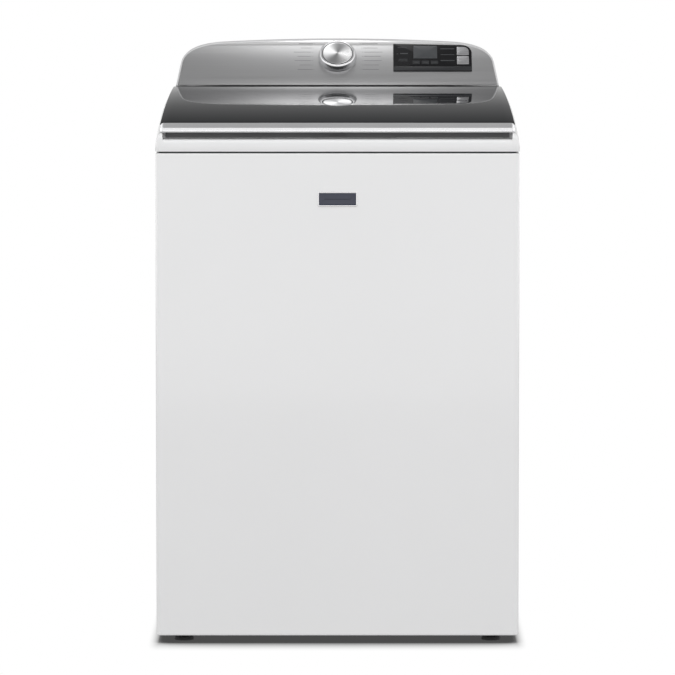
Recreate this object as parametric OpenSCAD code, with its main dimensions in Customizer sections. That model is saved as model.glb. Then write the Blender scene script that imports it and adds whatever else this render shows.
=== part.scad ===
// Top load washing machine with a crowned glass lid, a sloping control console
// and a direct drive basket hung on four sprung rods. Millimetres, +Z up.
// The front faces -Y. The origin is on the floor, at the centre of the outline.

/* [Cabinet] */
// Width of the cabinet
body_w = 699; // [620:1:780]
// Depth of the cabinet, front panel to rear panel
body_d = 680; // [600:1:760]
// Height of the front panel, bottom edge to the seam under the deck
panel_h = 933; // [820:1:1100]
// Gap between the floor and the cabinet's bottom edge
foot_gap = 15; // [14:1:30]
// Thickness of the cabinet's steel sheet
sheet_t = 1.2; // [0.8:0.1:2]
// Radius of the cabinet's front vertical edges
edge_r = 10; // [4:1:18]
// Height of the shadow gap between cabinet and deck
seam_gap = 3; // [2:0.5:5]

/* [Deck and lid] */
// Height of the lid's front edge above the seam
lid_front_h = 55; // [50:1:70]
// Rise of the lid from its front edge to its rear edge
lid_rise = 51; // [20:1:60]
// Radius of the lid's crown, front to back
crown_r = 4500; // [2500:50:9000]
// Thickness of the closed lid
lid_t = 17; // [16:0.5:22]
// Thickness of the lid's glass
glass_t = 4; // [3:0.5:5]
// Gap between the closed lid and the deck
lid_gap = 2; // [1.5:0.5:4]
// Width of cabinet left uncovered beside the lid's front edge
lid_margin_front = 9.5; // [6:0.5:20]
// Width of cabinet left uncovered beside the lid's rear edge
lid_margin_rear = 19.5; // [10:0.5:30]
// Wall thickness of the moulded deck
deck_t = 3; // [2:0.5:4]
// Height of the finger recess floor above the seam
recess_h = 25; // [18:1:28]
// Width of the opening in the deck
opening_w = 530; // [420:1:540]
// Distance from the front face to the opening
opening_front = 60; // [56:1:80]
// Distance from the lid's rear edge to the opening
opening_rear = 44; // [36:1:80]
// Corner radius of the opening
opening_r = 150; // [80:1:170]
// Depth of the skirt below the seam
skirt_h = 45; // [30:1:70]

/* [Console] */
// Depth of the console, front lip to rear
console_d = 132; // [130:1:160]
// Height of the console's top above the lid's rear edge
console_rise = 92; // [84:1:110]
// Lean of the console's face from the vertical, in degrees
face_lean = 45; // [40:1:48]
// Wall thickness of the console housing
console_t = 3; // [2:0.5:4]
// Thickness of the metal fascia
fascia_t = 1.5; // [1:0.1:2]
// Distance of the knob's axis above the foot of the face
knob_v = 78; // [60:1:80]
// Radius of the knob at its foot
knob_r = 39; // [32:0.5:42]
// Height of the knob
knob_h = 12; // [10:0.5:20]
// Radius of the push button in the knob
knob_button_r = 31; // [24:0.5:32]
// Width of the display panel
display_w = 159; // [140:1:165]
// Distance from the console's side to the display panel
display_margin = 58; // [50:1:70]

/* [Tub and basket] */
// Gap between the tub and the cabinet's sides
tub_side_gap = 48; // [40:1:60]
// Gap between the tub and the front panel
tub_front_gap = 34; // [30:1:50]
// Gap between the tub and the rear panel
tub_rear_gap = 46; // [44:1:60]
// Wall thickness of the tub
tub_t = 4; // [3:0.5:6]
// Room for the drive between the cabinet's bottom edge and the tub
drive_room = 175; // [170:1:210]
// Gap between the basket and the tub's wall
basket_gap = 20; // [16:1:30]
// Wall thickness of the steel basket
basket_t = 1.2; // [0.8:0.1:2]
// Gap between the impeller's rim and the basket
impeller_gap = 40; // [25:1:70]
// Upward travel of the tub on its springs
bounce_up = 15; // [5:1:20]

/* [Running gear] */
// Distance of each suspension rod from the cabinet's outside
rod_inset = 52; // [44:1:60]
// Radius of a suspension rod
rod_r = 4; // [3:0.5:5]
// Free length of a suspension spring between its seats
spring_l = 110; // [80:1:130]
// Outer radius of the spin tube
spin_r = 17.5; // [16:0.5:20]
// Radius of the drive shaft
shaft_r = 9; // [7:0.5:11]
// Outer radius of the motor's rotor
rotor_r = 140; // [120:1:150]
// Running clearance of shafts in bores
run_gap = 0.05; // [0.02:0.01:0.1]

/* [Connections] */
// Outer radius of a water inlet's hose thread
inlet_r = 13.2; // [12:0.1:14]
// Reach of the inlets and the drain port behind the cabinet
port_reach = 20; // [16:1:30]
// Outer radius of the drain port
drain_r = 15; // [12:0.5:18]
// Radius of the power cord's way through its gland
gland_r = 4.5; // [3.5:0.5:6]
// Thickness of the nameplate
plate_t = 2; // [1:0.5:3]

/* [Hidden] */
$fn = 64;
eps = 0.01;

// Outline of the cabinet
front_y = plate_t - (body_d + plate_t + port_reach) / 2;
rear_y = front_y + body_d;
half_w = body_w / 2;
seam_z = foot_gap + panel_h;
deck_z = seam_z + seam_gap / 2;
shell_top = seam_z - seam_gap / 2;

// Lid, seen from the side: an arc through its front and rear edges
lid_setback = 4;
hinge_gap = 7.5;
lid_y0 = front_y + lid_setback;
lid_y1 = rear_y - console_d - hinge_gap;
lid_z0 = seam_z + lid_front_h;
lid_z1 = lid_z0 + lid_rise;
chord = norm([lid_y1 - lid_y0, lid_rise]);
crown_drop = sqrt(crown_r * crown_r - chord * chord / 4);
crown_cy = (lid_y0 + lid_y1) / 2 + crown_drop * lid_rise / chord;
crown_cz = (lid_z0 + lid_z1) / 2 - crown_drop * (lid_y1 - lid_y0) / chord;
crown_steps = 24;
crown_step = (lid_y1 - lid_y0) / crown_steps;
function arc_z(y) = crown_cz + sqrt(crown_r * crown_r - pow(y - crown_cy, 2));
// The crown is drawn as strips between fixed stations, so stacked layers meet
function crown(y) = let (k = floor((y - lid_y0) / crown_step), a = lid_y0 + k * crown_step)
    arc_z(a) + (arc_z(a + crown_step) - arc_z(a)) * (y - a) / crown_step;
function stations(y0, y1) = concat([y0],
    [for (k = [0:crown_steps]) let (y = lid_y0 + k * crown_step) if (y > y0 + 0.01 && y < y1 - 0.01) y], [y1]);
function lid_half(y) = half_w - lid_margin_front
    - (lid_margin_rear - lid_margin_front) * (y - lid_y0) / (lid_y1 - lid_y0);
taper = atan((lid_margin_rear - lid_margin_front) / (lid_y1 - lid_y0));
trim_bevel = 8;
trim_d = 26;
glass_y0 = lid_y0 + trim_bevel;
frame_y0 = lid_y0 + trim_d;
frame_w = 24;
liner_t = 3;

// Hinge of the lid
pin_r = 2.5;
knuckle_r = 4;
hinge_y = lid_y1 - 3;
hinge_z = crown(lid_y1) - glass_t - knuckle_r - 0.5;
hinge_x = half_w - 82;
knuckle_w = 20;
notch_w = 24;
notch_d = 12.5;

// Deck
deck_rear_z = crown(lid_y1) - lid_t - lid_gap;
shoulder_r = 30;
recess_d = 27;
deck_drop = lid_t + lid_gap;
opening_y0 = front_y + opening_front;
opening_y1 = lid_y1 - opening_rear;
opening_d = opening_y1 - opening_y0;
opening_y = (opening_y0 + opening_y1) / 2;
skirt_bottom = seam_z - skirt_h;
tray_size = 72;
tray_h = 52;
tray_inset = 26;
tray_gap = 3;
skirt_flange = 7;

// Tub, centred in what the gaps leave
tub_r = min(half_w - sheet_t - tub_side_gap, (body_d - 2 * sheet_t - tub_front_gap - tub_rear_gap) / 2);
tub_y = front_y + sheet_t + tub_front_gap + tub_r;
tub_z0 = foot_gap + drive_room;
tub_floor_t = 6;
tub_top = skirt_bottom - bounce_up - 8;
cover_t = 8;
cover_lip = 40;

// Basket inside the tub
basket_r = tub_r - tub_t - basket_gap;
basket_z0 = tub_z0 + 50;
basket_z1 = tub_top - cover_t - 22;
base_t = 10;
ring_w = 36;
ring_h = 42;
impeller_z = basket_z0 + base_t + 12;
impeller_r = basket_r - impeller_gap;

// Hub and direct drive under the tub
bearing_r = 31;
bearing_h = 14;
hub_r = 48;
hub_z0 = tub_z0 - 18;
hub_z1 = tub_z0 + 46;
slider_h = 14;
slider_z = tub_z0 - 56;
slider_r = 34;
clutch_travel = 7.5;
rotor_z = tub_z0 - 112;
rotor_hub_top = slider_z - clutch_travel - 0.2;
rotor_rim_top = tub_z0 - 50;
stator_r = rotor_r - 12;
stator_z = tub_z0 - 86;
stator_h = 26;
tooth_count = 24;

// Suspension rods at the four corners
ear_z = tub_z0 + 140;
ear_t = 12;
seat_h = 18;
spring_top = ear_z - seat_h;
spring_z = spring_top - spring_l;
cap_h = 6;
cap_r = 22;
bracket_z = skirt_bottom - 33;
bracket_t = 3;
bracket_leg = 105;
spring_wire = 2.5;
spring_turns = 6;
function rod_places() = [for (sx = [-1, 1]) for (y = [front_y + rod_inset, rear_y - rod_inset])
    [sx * (half_w - rod_inset), y]];

// Drain pump under the sump
pump_x = 172;
pump_y = tub_y - 136;
pump_r = 42;
pump_z = tub_z0 - 72;
pump_h = 32;
drain_z = skirt_bottom - 22;

// Water inlets in the deck's rear wall
inlet_x = -200;
inlet_pitch = 62;
inlet_z = seam_z + 44;

// Console: its face leans back from a foot behind the lid
face_y = lid_y1 + hinge_gap;
face_z = lid_z1 + 1;
console_top = lid_z1 + console_rise;
console_z = deck_rear_z;
console_half = half_w - lid_margin_rear;
crest_r = 20;
corner_h = 46;
corner_w = 88;
crest_sag = 6;
side_lean = 0.2;
face_len = (console_top - face_z - crest_r * (1 - sin(face_lean))) / cos(face_lean);
crest_y = face_y + face_len * sin(face_lean) + crest_r * cos(face_lean);
fascia_rim = 3;
bushing_r = 8;
stem_r = 4.4;

// Display panel, in the face's own plane
display_v0 = 38.5;
display_v1 = 110;
display_u1 = console_half - display_margin;
display_u0 = display_u1 - display_w;
display_t = 1.8;
display_corner = 20;
key_w = 24;
key_h = 22.5;
key_u = display_u1 - 30;
power_v = 82.5;
start_v = 57;
lcd_u = display_u0 + 41;
lcd_v = 73;
lcd_size = [48, 35];

// Legs
leg_inset = 52;
stud_r = 5;
pad_r = 19;
function leg_places() = [for (sx = [-1, 1]) for (y = [front_y + leg_inset, rear_y - leg_inset])
    [sx * (half_w - leg_inset), y]];
rail_w = 34;
rail_h = 26;
rail_t = 3;

// Rear screws, shared by the panel, the cabinet's flanges and the screws
screw_r = 2.2;
screw_head_r = 5;
screw_rows = 5;
function rear_screw_places() = [for (sx = [-1, 1]) for (i = [0:screw_rows - 1])
    [sx * (half_w - 12), foot_gap + 40 + i * (panel_h - 90) / (screw_rows - 1)]];
function cover_screw_places() = [for (sx = [-1, 1]) for (z = [console_z + 16, console_top - 44])
    [sx * (console_half - 40), z]];

// ---- Helpers -------------------------------------------------------------

// Points of a rectangle with round corners, centred at the origin
function round_rect(w, d, r, n = 9) = [for (q = [0:3]) for (i = [0:n])
    let (a = 90 * q + 90 * i / n)
    [(q == 0 || q == 3 ? 1 : -1) * (w / 2 - r) + r * cos(a),
     (q < 2 ? 1 : -1) * (d / 2 - r) + r * sin(a)]];

// A drawing of depth against height, extruded across the machine
module across(w) {
    translate([-w / 2, 0, 0]) rotate([90, 0, 90]) linear_extrude(w) children();
}

// A drawing of width against height, extruded from y0 back to y1
module along(y0, y1) {
    translate([0, y1, 0]) rotate([90, 0, 0]) linear_extrude(y1 - y0) children();
}

// A cylinder along +Y starting at y0
module rod_y(x, z, y0, y1, r) {
    translate([x, y0, z]) rotate([-90, 0, 0]) cylinder(r = r, h = y1 - y0);
}

// A cylinder along +X starting at x0
module rod_x(x0, x1, y, z, r) {
    translate([x0, y, z]) rotate([0, 90, 0]) cylinder(r = r, h = x1 - x0);
}

// A ring standing on z0
module ring(z0, z1, r_out, r_in) {
    translate([0, 0, z0]) difference() {
        cylinder(r = r_out, h = z1 - z0);
        translate([0, 0, -1]) cylinder(r = r_in, h = z1 - z0 + 2);
    }
}

// Side view of a slab that follows the lid's crown, between two depths below it
module crown_slab(top, bottom, y0, y1) {
    ys = stations(y0, y1);
    polygon(concat([for (y = ys) [y, crown(y) - top]],
        [for (i = [len(ys) - 1:-1:0]) [ys[i], crown(ys[i]) - bottom]]));
}

// Plan of the lid between two depths, drawn in by a margin
module lid_plan(y0, y1, margin, front_r) {
    w0 = lid_half(y0) - margin;
    w1 = lid_half(y1) - margin;
    corner = [for (i = [0:6]) let (a = 90 * i / 6) [w0 - front_r + front_r * sin(a), y0 + front_r - front_r * cos(a)]];
    polygon(concat(corner, [[w1, y1], [-w1, y1]], [for (i = [6:-1:0]) [-corner[i][0], corner[i][1]]]));
}

// A solid slab of the lid
module lid_slab(top, bottom, y0, y1, margin, front_r) {
    intersection() {
        across(body_w) crown_slab(top, bottom, y0, y1);
        translate([0, 0, seam_z]) linear_extrude(console_top - seam_z) lid_plan(y0, y1, margin, front_r);
    }
}

// Moves children onto the console's face: x across, y up the face, z outwards
module on_face(u, v, n) {
    translate([0, face_y, face_z]) rotate([90 - face_lean, 0, 0]) translate([u, v, n]) children();
}

// ---- Cabinet -------------------------------------------------------------

module shell_plan(inset) {
    r = edge_r - inset;
    polygon(concat(
        [for (i = [0:8]) let (a = 270 + 90 * i / 8)
            [half_w - edge_r + r * cos(a), front_y + edge_r + r * sin(a)]],
        [[half_w - inset, rear_y - 2 * sheet_t], [-half_w + inset, rear_y - 2 * sheet_t]],
        [for (i = [0:8]) let (a = 180 + 90 * i / 8)
            [-half_w + edge_r + r * cos(a), front_y + edge_r + r * sin(a)]]));
}

module cabinet_shell() {
    flange = 22;
    color("white") difference() {
        union() {
            translate([0, 0, foot_gap]) linear_extrude(shell_top - foot_gap) difference() {
                shell_plan(0);
                shell_plan(sheet_t);
            }
            for (sx = [-1, 1]) translate([sx * (half_w - flange / 2), rear_y - 1.5 * sheet_t, (foot_gap + shell_top) / 2])
                cube([flange, sheet_t, shell_top - foot_gap], center = true);
            translate([0, 0, shell_top - sheet_t]) linear_extrude(sheet_t) difference() {
                shell_plan(sheet_t / 2);
                shell_plan(8);
            }
        }
        translate([0, 0, foot_gap - 1]) linear_extrude(panel_h + 2)
            translate([-half_w + flange, rear_y - 3 * sheet_t]) square([body_w - 2 * flange, 4 * sheet_t]);
        for (p = rear_screw_places()) rod_y(p[0], p[1], rear_y - 4 * sheet_t, rear_y, screw_r);
    }
}

module rear_panel() {
    w = body_w - 6;
    z0 = foot_gap + 20;
    z1 = deck_z - 0.5;
    rise = 4;
    rib = [150, panel_h - 240];
    color("gainsboro") difference() {
        union() {
            translate([-w / 2, rear_y - sheet_t, z0]) cube([w, sheet_t, z1 - z0]);
            for (x = [-1, 0, 1]) translate([x * 190 - rib[0] / 2, rear_y - sheet_t, foot_gap + 90])
                cube([rib[0], sheet_t + rise, rib[1]]);
        }
        for (x = [-1, 0, 1]) translate([x * 190 - rib[0] / 2 + sheet_t, rear_y - 2 * sheet_t, foot_gap + 90 + sheet_t])
            cube([rib[0] - 2 * sheet_t, sheet_t + rise, rib[1] - 2 * sheet_t]);
        for (p = rear_screw_places()) rod_y(p[0], p[1], rear_y - 2 * sheet_t, rear_y + 1, screw_r);
        rod_y(pump_x, drain_z, rear_y - 2 * sheet_t, rear_y + 1, drain_r + 0.3);
    }
}

// A self-tapping screw with a hexagonal head, driven in from behind
module screw(p) {
    rod_y(p[0], p[1], rear_y - 12, rear_y + 1, screw_r - 0.2);
    translate([p[0], rear_y + 0.02, p[1]]) rotate([-90, 0, 0]) cylinder(r = screw_head_r, h = 3, $fn = 6);
}

module rear_screws() {
    color("silver") for (p = rear_screw_places()) screw(p);
    color("silver") for (p = cover_screw_places()) screw(p);
}

module base_frame() {
    w = body_w - 2 * sheet_t - 0.6;
    y0 = front_y + sheet_t + 0.3;
    y1 = rear_y - 2 * sheet_t - 0.3;
    corner = 2 * leg_inset;
    color("darkgray") difference() {
        union() {
            // an angle section all round: flange below, web against the cabinet
            translate([-w / 2, y0, foot_gap]) cube([w, y1 - y0, rail_t]);
            for (sx = [-1, 1]) translate([sx * (w - rail_t) / 2 - rail_t / 2, y0 + edge_r, foot_gap])
                cube([rail_t, y1 - y0 - 2 * edge_r, rail_h]);
            for (y = [y0, y1 - rail_t]) translate([-w / 2 + edge_r, y, foot_gap]) cube([w - 2 * edge_r, rail_t, rail_h]);
            for (p = leg_places()) translate([p[0], p[1], foot_gap]) cylinder(r = 12, h = rail_h);
        }
        // the open middle, leaving corner plates for the legs
        translate([0, (y0 + y1) / 2, foot_gap - 1]) linear_extrude(rail_t + 2) {
            square([w - 2 * rail_w, y1 - y0 - 2 * corner], center = true);
            square([w - 2 * corner, y1 - y0 - 2 * rail_w], center = true);
        }
        for (p = leg_places()) translate([p[0], p[1], foot_gap - 1]) cylinder(r = stud_r + run_gap, h = rail_h + 2);
        for (sx = [-1, 1]) translate([sx * w / 2, y0, foot_gap - 1]) rotate(45) cube([edge_r, edge_r, 3 * rail_h], center = true);
    }
}

module leg(i) {
    p = leg_places()[i];
    color("dimgray") translate([p[0], p[1], 0]) {
        cylinder(r1 = pad_r, r2 = pad_r - 2, h = 7);
        translate([0, 0, 7 - eps]) cylinder(r = 9.5, h = 4.5, $fn = 6);
        translate([0, 0, 8]) cylinder(r = stud_r, h = foot_gap + rail_h + 6);
    }
}

module nameplate_frame() {
    color("silver") translate([0, 0, seam_z - 89.5]) difference() {
        along(front_y - plate_t, front_y) polygon(round_rect(76, 28, 3));
        along(front_y - plate_t - 1, front_y - 0.8) polygon(round_rect(71, 23, 1.5));
    }
}

module nameplate_face() {
    color("midnightblue") translate([0, 0, seam_z - 89.5])
        along(front_y - plate_t + 0.4, front_y - 0.8) polygon(round_rect(70.8, 22.8, 1.4));
}

// ---- Deck and what it carries --------------------------------------------

// What the left shoulder rounds off, swept along the lid's crown. It is drawn
// in by a wall, and the right shoulder is its mirror image.
module shoulder_cut(wall) {
    edge = (lid_half(lid_y0) + lid_half(lid_y1)) / 2 - 1;
    run = half_w - edge;
    top = crown_r - lid_t - lid_gap - wall;
    curve = [for (i = [0:6]) let (a = 90 * i / 6)
        [top + 0.15 - shoulder_r * (1 - cos(a)), (run - wall) * sin(a)]];
    translate([-edge, crown_cy, crown_cz]) rotate([0, 0, -taper]) rotate([0, -90, 0]) rotate([0, 0, -11])
        rotate_extrude(angle = 16, $fn = 720) polygon(concat([[top + 40, -2], [top + 0.15, -2]], curve,
            [[top - shoulder_r - 60, run + 4 - wall], [top - shoulder_r - 60, run + 40], [top + 40, run + 40]]));
}

// The deck's outside, or the hollow under it when drawn in by its wall
module deck_body(wall, bottom) {
    drop = lid_t + lid_gap + wall;
    front = front_y + wall;
    nose = 9;
    nose_y = front + nose;
    nose_z = crown(nose_y) - drop;
    difference() {
        intersection() {
            translate([0, 0, bottom]) linear_extrude(300) union() {
                shell_plan(wall);
                translate([-half_w + wall, rear_y - 40]) square([body_w - 2 * wall, 40 - wall]);
            }
            across(body_w + 10) polygon(concat([[front, bottom]],
                [for (i = [0:5]) let (a = 90 * i / 6) [nose_y - nose * cos(a), nose_z - nose + nose * sin(a)]],
                [for (y = stations(nose_y, lid_y1)) [y, crown(y) - drop]], [[rear_y - wall, crown(lid_y1) - drop], [rear_y - wall, bottom]]));
        }
        shoulder_cut(wall);
        mirror([1, 0, 0]) shoulder_cut(wall);
    }
}

// Side view of what the finger recess cuts away
module recess_profile() {
    z = seam_z + recess_h;
    r = 7;
    edge = [for (i = [0:6]) let (a = 90 * i / 6) [front_y + r - r * cos(a), z - r + r * sin(a)]];
    back = [for (i = [0:6]) let (a = 90 * i / 6) [front_y + recess_d - 6 + 6 * sin(a), z + 6 - 6 * cos(a)]];
    polygon(concat([[front_y - 5, z - r]], edge, back,
        [[front_y + recess_d, z + 60], [front_y - 5, z + 60]]));
}

// Plan of the tray in the deck's corner, kept clear of the skirt's flange
module tray_place(grow) {
    f = 2 * (skirt_flange + tray_gap) + 8 - grow;
    difference() {
        translate([-half_w + tray_inset + tray_size / 2, front_y + recess_d + 8 + tray_size / 2])
            polygon(round_rect(tray_size + grow, tray_size + grow, 10));
        translate([0, opening_y]) polygon(round_rect(opening_w + f, opening_d + f, opening_r + f / 2));
    }
}

lock_y = front_y + recess_d + 13;

module deck() {
    opening = [for (p = round_rect(opening_w, opening_d, opening_r)) p + [0, opening_y]];
    color("white") difference() {
        union() {
            difference() {
                deck_body(0, deck_z);
                deck_body(deck_t, deck_z - seam_gap - 1);
            }
            // lip that stands on the cabinet's flange and leaves the shadow gap
            translate([0, 0, shell_top]) linear_extrude(seam_gap + 6) difference() {
                shell_plan(2.6);
                shell_plan(6.5);
            }
            // floor under the finger recess
            intersection() {
                deck_body(0, deck_z);
                across(2 * (half_w - 8)) translate([front_y, 0]) difference() {
                    translate([0, seam_z + recess_h - 12]) square([recess_d + deck_t, 60]);
                    translate([deck_t, seam_z + recess_h - 13]) square([recess_d - deck_t, 13 - deck_t]);
                }
            }
        }
        across(2 * (lid_half(lid_y0) - 5)) recess_profile();
        translate([0, 0, shell_top - 1]) linear_extrude(200) polygon(opening);
        translate([0, 0, shell_top - 1]) linear_extrude(200) tray_place(0.6);
        tray_layer(lid_t, deck_drop + 1.6, 8);
        translate([-15, lock_y - 6, seam_z]) cube([30, 10, 100]);
        for (i = [0, 1]) rod_y(inlet_x + i * inlet_pitch, inlet_z, rear_y - 10, rear_y + 1, inlet_r + 2);
    }
}

// The skirt hangs from the deck's opening and guides the load into the basket
module deck_skirt() {
    outer = [for (p = round_rect(opening_w - 0.4, opening_d - 0.4, opening_r)) p + [0, opening_y]];
    inner = [for (p = round_rect(opening_w - 6.4, opening_d - 6.4, opening_r - 3)) p + [0, opening_y]];
    f = 2 * skirt_flange;
    flange = [for (p = round_rect(opening_w + f, opening_d + f, opening_r + skirt_flange)) p + [0, opening_y]];
    color("white") intersection() {
        lid_slab(deck_drop + deck_t + 0.05, deck_drop + deck_t + 2, opening_y0 - 10, opening_y1 + 10, 0, 1);
        translate([0, 0, skirt_bottom]) linear_extrude(300) difference() {
            polygon(flange);
            polygon(inner);
            // notch for the lock case
            translate([-lock_w / 2 - 1, opening_y0 - 20]) square([lock_w + 2, 20.1]);
        }
    }
    color("white") intersection() {
        translate([0, 0, skirt_bottom]) linear_extrude(300) difference() {
            polygon(outer);
            polygon(inner);
        }
        across(body_w) polygon(concat([[opening_y0 - 5, skirt_bottom]],
            [for (y = stations(opening_y0 - 5, opening_y1 + 5)) [y, crown(y) - deck_drop - 0.6]],
            [[opening_y1 + 5, skirt_bottom]]));
    }
}

// A layer of the tray between two depths below the lid's crown
module tray_layer(top, bottom, grow) {
    intersection() {
        lid_slab(top, bottom, lid_y0 + 20, lid_y0 + 150, 0, 1);
        translate([0, 0, skirt_bottom]) linear_extrude(300) tray_place(grow);
    }
}

module detergent_tray() {
    color("whitesmoke") difference() {
        union() {
            tray_layer(deck_drop + 0.1, deck_drop + tray_h, 0);
            tray_layer(deck_drop + 0.1, deck_drop + 1.6, 7);
        }
        tray_layer(lid_t, deck_drop + tray_h - 2.5, -5);
    }
}

module fill_flume() {
    w = 84;
    z = inlet_z - 47.1;
    y0 = opening_y1 + 4;
    y1 = rear_y - 48;
    color("gainsboro") difference() {
        translate([inlet_x + inlet_pitch / 2 - w / 2, y0, z]) cube([w, y1 - y0, 26]);
        translate([inlet_x + inlet_pitch / 2 - w / 2 + 2, y0 - 1, z + 2]) cube([w - 4, y1 - y0 - 2, 22]);
    }
}

module inlet_valve() {
    y1 = rear_y - deck_t - 3.05;
    color("ivory") difference() {
        union() {
            for (i = [0, 1]) {
                rod_y(inlet_x + i * inlet_pitch, inlet_z, y1 - 36, y1, 17);
                translate([inlet_x + i * inlet_pitch, y1 - 50, inlet_z]) cube([30, 28, 42], center = true);
            }
            translate([inlet_x, y1 - 60, inlet_z - 8]) cube([inlet_pitch, 22, 16]);
        }
        for (i = [0, 1]) rod_y(inlet_x + i * inlet_pitch, inlet_z, y1 - 24, y1 + 1, 10);
    }
}

module inlet_ports() {
    y1 = rear_y - deck_t - 3.05;
    color("royalblue") for (i = [0, 1]) difference() {
        union() {
            rod_y(inlet_x + i * inlet_pitch, inlet_z, y1, rear_y + port_reach, inlet_r);
            rod_y(inlet_x + i * inlet_pitch, inlet_z, y1, y1 + 3, inlet_r + 3.5);
        }
        rod_y(inlet_x + i * inlet_pitch, inlet_z, y1 - 1, rear_y + port_reach + 1, 9);
    }
}

module drain_port() {
    color("dimgray") difference() {
        union() {
            rod_y(pump_x, drain_z, rear_y - 16, rear_y + port_reach, drain_r);
            rod_y(pump_x, drain_z, rear_y + 0.02, rear_y + 3, drain_r + 8);
        }
        rod_y(pump_x, drain_z, rear_y - 17, rear_y + port_reach + 1, drain_r - 3);
    }
}

// Solenoid lock behind the strike; its bolt slides forward through the strike
lock_w = 70;
lock_h = 26;
lock_y0 = lock_y + 4;
lock_y1 = opening_y0 - 0.6;
lock_top = crown(lock_y0) - deck_drop - deck_t - 0.1;
strike_w = 20;
strike_t = 3;
bolt_w = 8;
bolt_z = lock_top - 12;

module lid_lock_case() {
    color("black") difference() {
        translate([-lock_w / 2, lock_y0, lock_top - lock_h]) cube([lock_w, lock_y1 - lock_y0, lock_h]);
        translate([-bolt_w / 2 - 0.3, lock_y0 - 1, bolt_z - bolt_w / 2 - 0.3])
            cube([bolt_w + 0.6, lock_y1 - lock_y0 - 1, bolt_w + 0.6]);
    }
}

module lid_lock_bolt() {
    color("ivory") translate([-bolt_w / 2, lock_y0 + 0.5, bolt_z - bolt_w / 2])
        cube([bolt_w, lock_y1 - lock_y0 - 3, bolt_w]);
}

// ---- Lid -----------------------------------------------------------------

module lid_glass() {
    color("darkslategray") lid_slab(0, glass_t, glass_y0, lid_y1, 0, 3);
}

module lid_trim() {
    zb = lid_z0 - lid_t;
    nose = 9;
    profile = concat([[lid_y0 + 2, zb], [lid_y0, zb + 2], [lid_y0, zb + nose],
            [glass_y0, crown(glass_y0)]],
        [for (y = stations(glass_y0, frame_y0)) [y, crown(y) - glass_t]],
        [[frame_y0, crown(frame_y0) - lid_t]]);
    color("silver") intersection() {
        across(body_w) polygon(profile);
        translate([0, 0, seam_z]) linear_extrude(100) lid_plan(lid_y0, frame_y0, 0, 8);
    }
}

module hinge_notch(x) {
    translate([x - notch_w / 2, hinge_y - notch_d, hinge_z - 40]) cube([notch_w, 40, 50]);
}

module lid_frame() {
    color("dimgray") difference() {
        lid_slab(glass_t, lid_t - liner_t, frame_y0, lid_y1, 0.5, 0.5);
        lid_slab(glass_t - 1, lid_t, frame_y0 + 4, lid_y1 - frame_w, frame_w, 4);
        for (sx = [-1, 1]) {
            hinge_notch(sx * hinge_x);
            rod_x(sx * hinge_x - knuckle_w, sx * hinge_x + knuckle_w, hinge_y, hinge_z, pin_r);
        }
    }
}

module lid_liner() {
    color("whitesmoke") difference() {
        lid_slab(lid_t - liner_t, lid_t, frame_y0, lid_y1, 1, 0.5);
        for (sx = [-1, 1]) hinge_notch(sx * hinge_x);
        // slot for the strike, whose foot lies on the liner
        translate([-strike_w / 2 - 0.3, lock_y - strike_t / 2 - 0.3, seam_z]) cube([strike_w + 0.6, strike_t + 0.6, 100]);
    }
}

// Thickness of the strip under the handle, and its gap over the recess's floor
strip_t = 6;
strip_gap = 3;

module lid_bumpers() {
    color("black") for (sx = [-1, 1], y = [front_y + recess_d + 16, lid_y1 - 26]) intersection() {
        lid_slab(lid_t + 0.05, lid_t + lid_gap - 0.3, y - 8, y + 8, 0, 1);
        translate([sx * (lid_half(y) - 16), y, seam_z]) cylinder(r = 6, h = 200);
    }
    // strip under the handle trim, in front of the recess's rear wall
    y1 = front_y + recess_d - 1.5;
    y0 = y1 - strip_t;
    z0 = seam_z + recess_h + strip_gap;
    function under_trim(y) = let (t = (y - lid_y0 - 2) / (trim_d - 2))
        (1 - t) * (lid_z0 - lid_t) + t * (crown(frame_y0) - lid_t);
    color("dimgray") difference() {
        across(2 * (lid_half(lid_y0) - 10))
            polygon([[y0, z0], [y1, z0], [y1, under_trim(y1)], [y0, under_trim(y0)]]);
        translate([-15, y0 - 1, z0 + 3]) cube([30, 3.5, 4]);
    }
}

module lid_strike() {
    top = lid_t - liner_t - 0.05;
    color("silver") difference() {
        union() {
            intersection() {
                lid_slab(top - 4, top, lock_y - 5, lock_y + 7, 0, 1);
                translate([-26, lock_y - 10, seam_z]) cube([52, 20, 200]);
            }
            translate([-strike_w / 2, lock_y - strike_t / 2, bolt_z - 9])
                cube([strike_w, strike_t, crown(lock_y - 2) - top + 1 - bolt_z + 9]);
        }
        translate([-bolt_w / 2 - 1, lock_y - 5, bolt_z - bolt_w / 2 - 1]) cube([bolt_w + 2, 10, bolt_w + 2]);
    }
}

module hinge_pins() {
    color("silver") for (sx = [-1, 1])
        rod_x(sx * hinge_x - knuckle_w, sx * hinge_x + knuckle_w, hinge_y, hinge_z, pin_r);
}

module hinge_brackets() {
    color("gray") for (sx = [-1, 1]) difference() {
        union() {
            rod_x(sx * hinge_x - knuckle_w / 2, sx * hinge_x + knuckle_w / 2, hinge_y, hinge_z, knuckle_r);
            translate([sx * hinge_x - knuckle_w / 2, hinge_y - knuckle_r, deck_rear_z])
                cube([knuckle_w, 2 * knuckle_r, hinge_z - deck_rear_z]);
        }
        rod_x(sx * hinge_x - knuckle_w, sx * hinge_x + knuckle_w, hinge_y, hinge_z, pin_r + run_gap);
    }
}

// ---- Console -------------------------------------------------------------

function bezier(a, b, c, t) = a * (1 - t) * (1 - t) + b * 2 * t * (1 - t) + c * t * t;

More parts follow.
